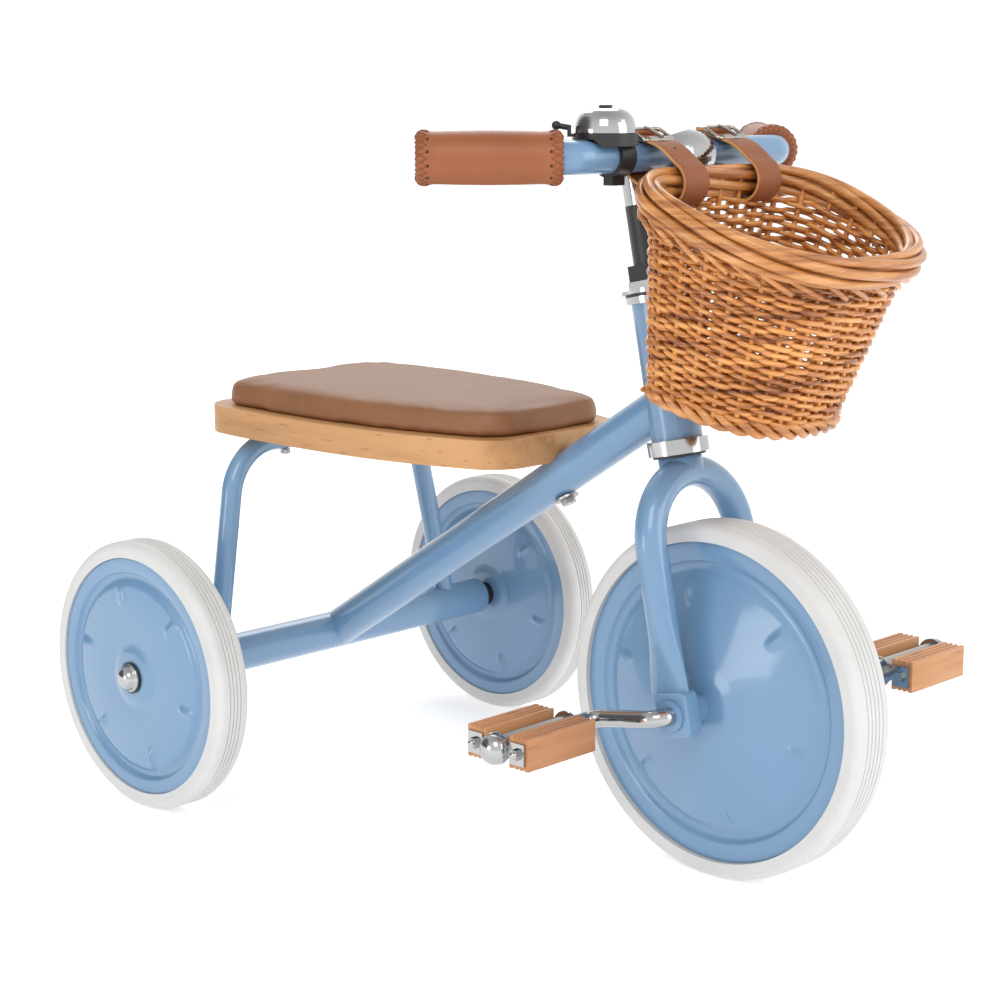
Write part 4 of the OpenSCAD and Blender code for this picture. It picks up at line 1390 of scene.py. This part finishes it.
    def _tips(self) -> bpy.types.Object:
        """The stakes' ends, bent over and tucked under the rim."""
        paths = []
        for k in range(self.stakes):
            start = k / self.stakes
            lean = (1.25 + self.random.uniform(-0.2, 0.25)) / self.stakes
            u = np.linspace(0, 1, 9)
            around = start + lean * u
            out = 1.6 * MM + 2.4 * MM * np.sin(np.pi * u * 0.8)
            up = -17 * MM + 11 * MM * u + self.random.uniform(-1, 1) * MM
            paths.append(np.array([self.wall(np.array([a]), 0.0, o - 1.2 * MM, h)[0]
                                   for a, o, h in zip(around, out, up)]))
        return rods("willow_stake_tips", paths, [2.0 * MM] * self.stakes, False, 6)

    def _floor(self) -> bpy.types.Object:
        """A flat woven floor of sticks and cross rods."""
        sticks, paths, radii = 9, [], []
        depth = self.base_front - self.base_back
        level = -self.height + 5 * MM
        outline = self._half(self.base_half - 4 * MM, depth, self.base_corner)
        xs = outline[:, 0] + self.base_back

        def reach(x: float) -> float:
            """Half the floor's width this far forward."""
            order = np.argsort(xs)
            return float(np.interp(x, xs[order], np.maximum.accumulate(outline[:, 1][order][::-1])[::-1]))

        for y in np.linspace(-self.base_half + 12 * MM, self.base_half - 12 * MM, sticks):
            ends = [x for x in np.linspace(self.base_back + 2 * MM, self.base_front - 2 * MM, 60)
                    if reach(x) > abs(y)]
            line = np.array([[x, y, level + (x - self.base_back) * self.base_slope]
                             for x in np.linspace(ends[0], ends[-1], 5)])
            paths.append(self.to_row(line))
            radii.append(2.2 * MM)
        pitch = 3.5 * MM
        span = 2 * (self.base_half - 12 * MM) / (sticks - 1)
        for k, x in enumerate(np.arange(self.base_back + 4 * MM, self.base_front - 5 * MM, pitch)):
            half = reach(x)
            ys = np.linspace(-half, half, 48)
            wave = 2.0 * MM * np.cos(np.pi * ys / span + np.pi * (k % 2)) \
                + (x - self.base_back) * self.base_slope
            line = np.c_[np.full(48, x), ys, level + wave]
            paths.append(self.to_row(line))
            radii.append(1.7 * MM)
        return rods("willow_floor", paths, radii, False, 6)


@dataclass
class Pedals:
    """Two pedals of grooved wooden blocks on a chrome spindle."""

    finishes: Finishes

    def build(self) -> None:
        """Rounds the blocks' edges and dresses the metal."""
        f = self.finishes
        for side in ("left", "right"):
            blocks = merged_copy(f"{side}_pedal_blocks", f"{side}_grooved_blocks")
            apply(blocks, "BEVEL", width=0.8 * MM, segments=2, limit_method="ANGLE",
                  angle_limit=math.radians(60))
            smooth(blocks, 35)
            paint_with(blocks, f.block)
            place(blocks, f"{side}_pedal", "timber", f"{side}_pedal_blocks")
            sign = 1 if side == "left" else -1
            foot = centre(f"{side}_pedal_cap") - Vector((0, sign * half_size(f"{side}_pedal_cap").y, 0))
            cap = turned(f"{side}_domed_cap", PEDAL_CAP_PROFILE, foot, Vector((0, sign, 0)), 48)
            smooth(cap, 50)
            paint_with(cap, f.chrome)
            place(cap, f"{side}_pedal", "chrome", f"{side}_pedal_cap")
            dress(f.chrome, *(f"{side}_pedal_{part}" for part in ("plates", "bolts")))
            dress(f.zinc, f"{side}_pedal_tube")
        dress(f.chrome, "crank_rod")


@dataclass
class Studio:
    """A plain pale floor, soft lights and the camera."""

    camera: Vector = field(default_factory=lambda: Vector((1.089, -1.151, 0.547)))
    target: Vector = field(default_factory=lambda: Vector((-0.0267, 0.0, 0.2358)))
    lens: float = 78.1
    floor_colour: tuple = (0.93, 0.93, 0.93)

    def build(self) -> None:
        """Makes the set."""
        bpy.ops.object.select_all(action="DESELECT")
        bpy.ops.mesh.primitive_plane_add(size=40)
        floor = bpy.context.view_layer.objects.active
        floor.name = "studio_floor"
        s = Shader("studio_floor", Roughness=0.75, Specular_IOR_Level=0.2,
                   Emission_Color=(1.0, 1.0, 1.0, 1.0), Emission_Strength=FLOOR_GLOW)
        s.surface.inputs["Base Color"].default_value = (*self.floor_colour, 1.0)
        paint_with(floor, s.material)
        self._world()
        self._light("key", (1.5, -2.1, 2.4), 1.5, 28)
        self._light("wheel", (-0.55, -2.5, 0.42), 0.75, 7)
        self._light("fill", (2.6, 0.9, 1.2), 1.6, 16)
        self._light("back", (-1.8, 1.6, 2.4), 1.8, 26)
        data = bpy.data.cameras.new("camera")
        data.lens = self.lens
        data.sensor_width = 36
        camera = bpy.data.objects.new("camera", data)
        camera.location = self.camera
        camera.rotation_euler = (self.target - self.camera).to_track_quat("-Z", "Y").to_euler()
        bpy.context.scene.collection.objects.link(camera)
        bpy.context.scene.camera = camera
        bpy.context.scene.view_settings.view_transform = "Standard"

    def _world(self) -> None:
        """A bright surround that darkens overhead and towards one side, for the metal to reflect."""
        world = bpy.data.worlds.new("studio")
        bpy.context.scene.world = world
        world.use_nodes = True
        tree = world.node_tree
        coords = tree.nodes.new("ShaderNodeTexCoord").outputs["Generated"]

        def band(toward: Point, stops: Sequence[tuple]) -> bpy.types.NodeSocket:
            """Grey levels by how far a direction points one way."""
            dot = tree.nodes.new("ShaderNodeVectorMath")
            dot.operation = "DOT_PRODUCT"
            dot.inputs[1].default_value = Vector(toward).normalized()
            ramp = tree.nodes.new("ShaderNodeValToRGB")
            elements = ramp.color_ramp.elements
            while len(elements) < len(stops):
                elements.new(0.5)
            for element, (place_on, level) in zip(elements, stops):
                element.position, element.color = place_on, (level, level, level, 1.0)
            tree.links.new(coords, dot.inputs[0])
            tree.links.new(dot.outputs["Value"], ramp.inputs[0])
            return ramp.outputs[0]

        mix = tree.nodes.new("ShaderNodeMix")
        mix.data_type, mix.blend_type = "RGBA", "MULTIPLY"
        mix.inputs[0].default_value = 1.0
        tree.links.new(band((0, 0, 1), GREY_LEVELS_UP), mix.inputs[6])
        tree.links.new(band(DARK_SIDE, GREY_LEVELS_NEAR), mix.inputs[7])
        background = tree.nodes["Background"]
        tree.links.new(mix.outputs[2], background.inputs["Color"])
        background.inputs["Strength"].default_value = WORLD_STRENGTH

    def _light(self, name: str, spot: Point, size: float, power: float) -> None:
        """Adds a square soft light that looks at the target.

        Args:
            name: The light's name.
            spot: Where it stands.
            size: The length of its side.
            power: Its power in watts.
        """
        data = bpy.data.lights.new(name, "AREA")
        data.shape = "SQUARE"
        data.size = size
        data.energy = power
        light = bpy.data.objects.new(name, data)
        light.location = spot
        light.rotation_euler = (self.target - Vector(spot)).to_track_quat("-Z", "Y").to_euler()
        bpy.context.scene.collection.objects.link(light)


def main() -> None:
    """Builds and dresses everything."""
    logging.basicConfig(level=logging.INFO, format="%(name)s: %(message)s")
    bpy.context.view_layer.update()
    finishes = Finishes()
    steering = Steering.from_joint()
    Fork(steering, finishes).build()
    Wheel(finishes, "front", "front_wheel", "front_tyre", "front_discs",
          FRONT_RIM_Y, FRONT_HUB_Y).build()
    for side in ("left", "right"):
        Wheel(finishes, side, f"{side}_wheel", f"{side}_tyre", f"{side}_wheel_discs",
              REAR_RIM_Y, REAR_HUB_Y).build()
    dress(finishes.paint, "front_hub")
    dress(finishes.black, "left_hub", "right_hub")
    Seat(finishes).build()
    Handlebar(finishes).build()
    Pedals(finishes).build()
    Basket(finishes).build()
    Straps(finishes).build()
    Studio().build()


with open("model.json") as file:
    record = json.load(file)
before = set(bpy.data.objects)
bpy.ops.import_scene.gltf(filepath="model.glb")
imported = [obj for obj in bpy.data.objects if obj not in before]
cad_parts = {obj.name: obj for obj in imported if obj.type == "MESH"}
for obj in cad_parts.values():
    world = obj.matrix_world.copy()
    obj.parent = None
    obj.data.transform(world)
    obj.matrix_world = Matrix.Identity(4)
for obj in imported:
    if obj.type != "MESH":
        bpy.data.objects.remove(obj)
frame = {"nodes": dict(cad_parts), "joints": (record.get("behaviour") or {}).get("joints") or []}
if __name__ == "__main__":
    main()
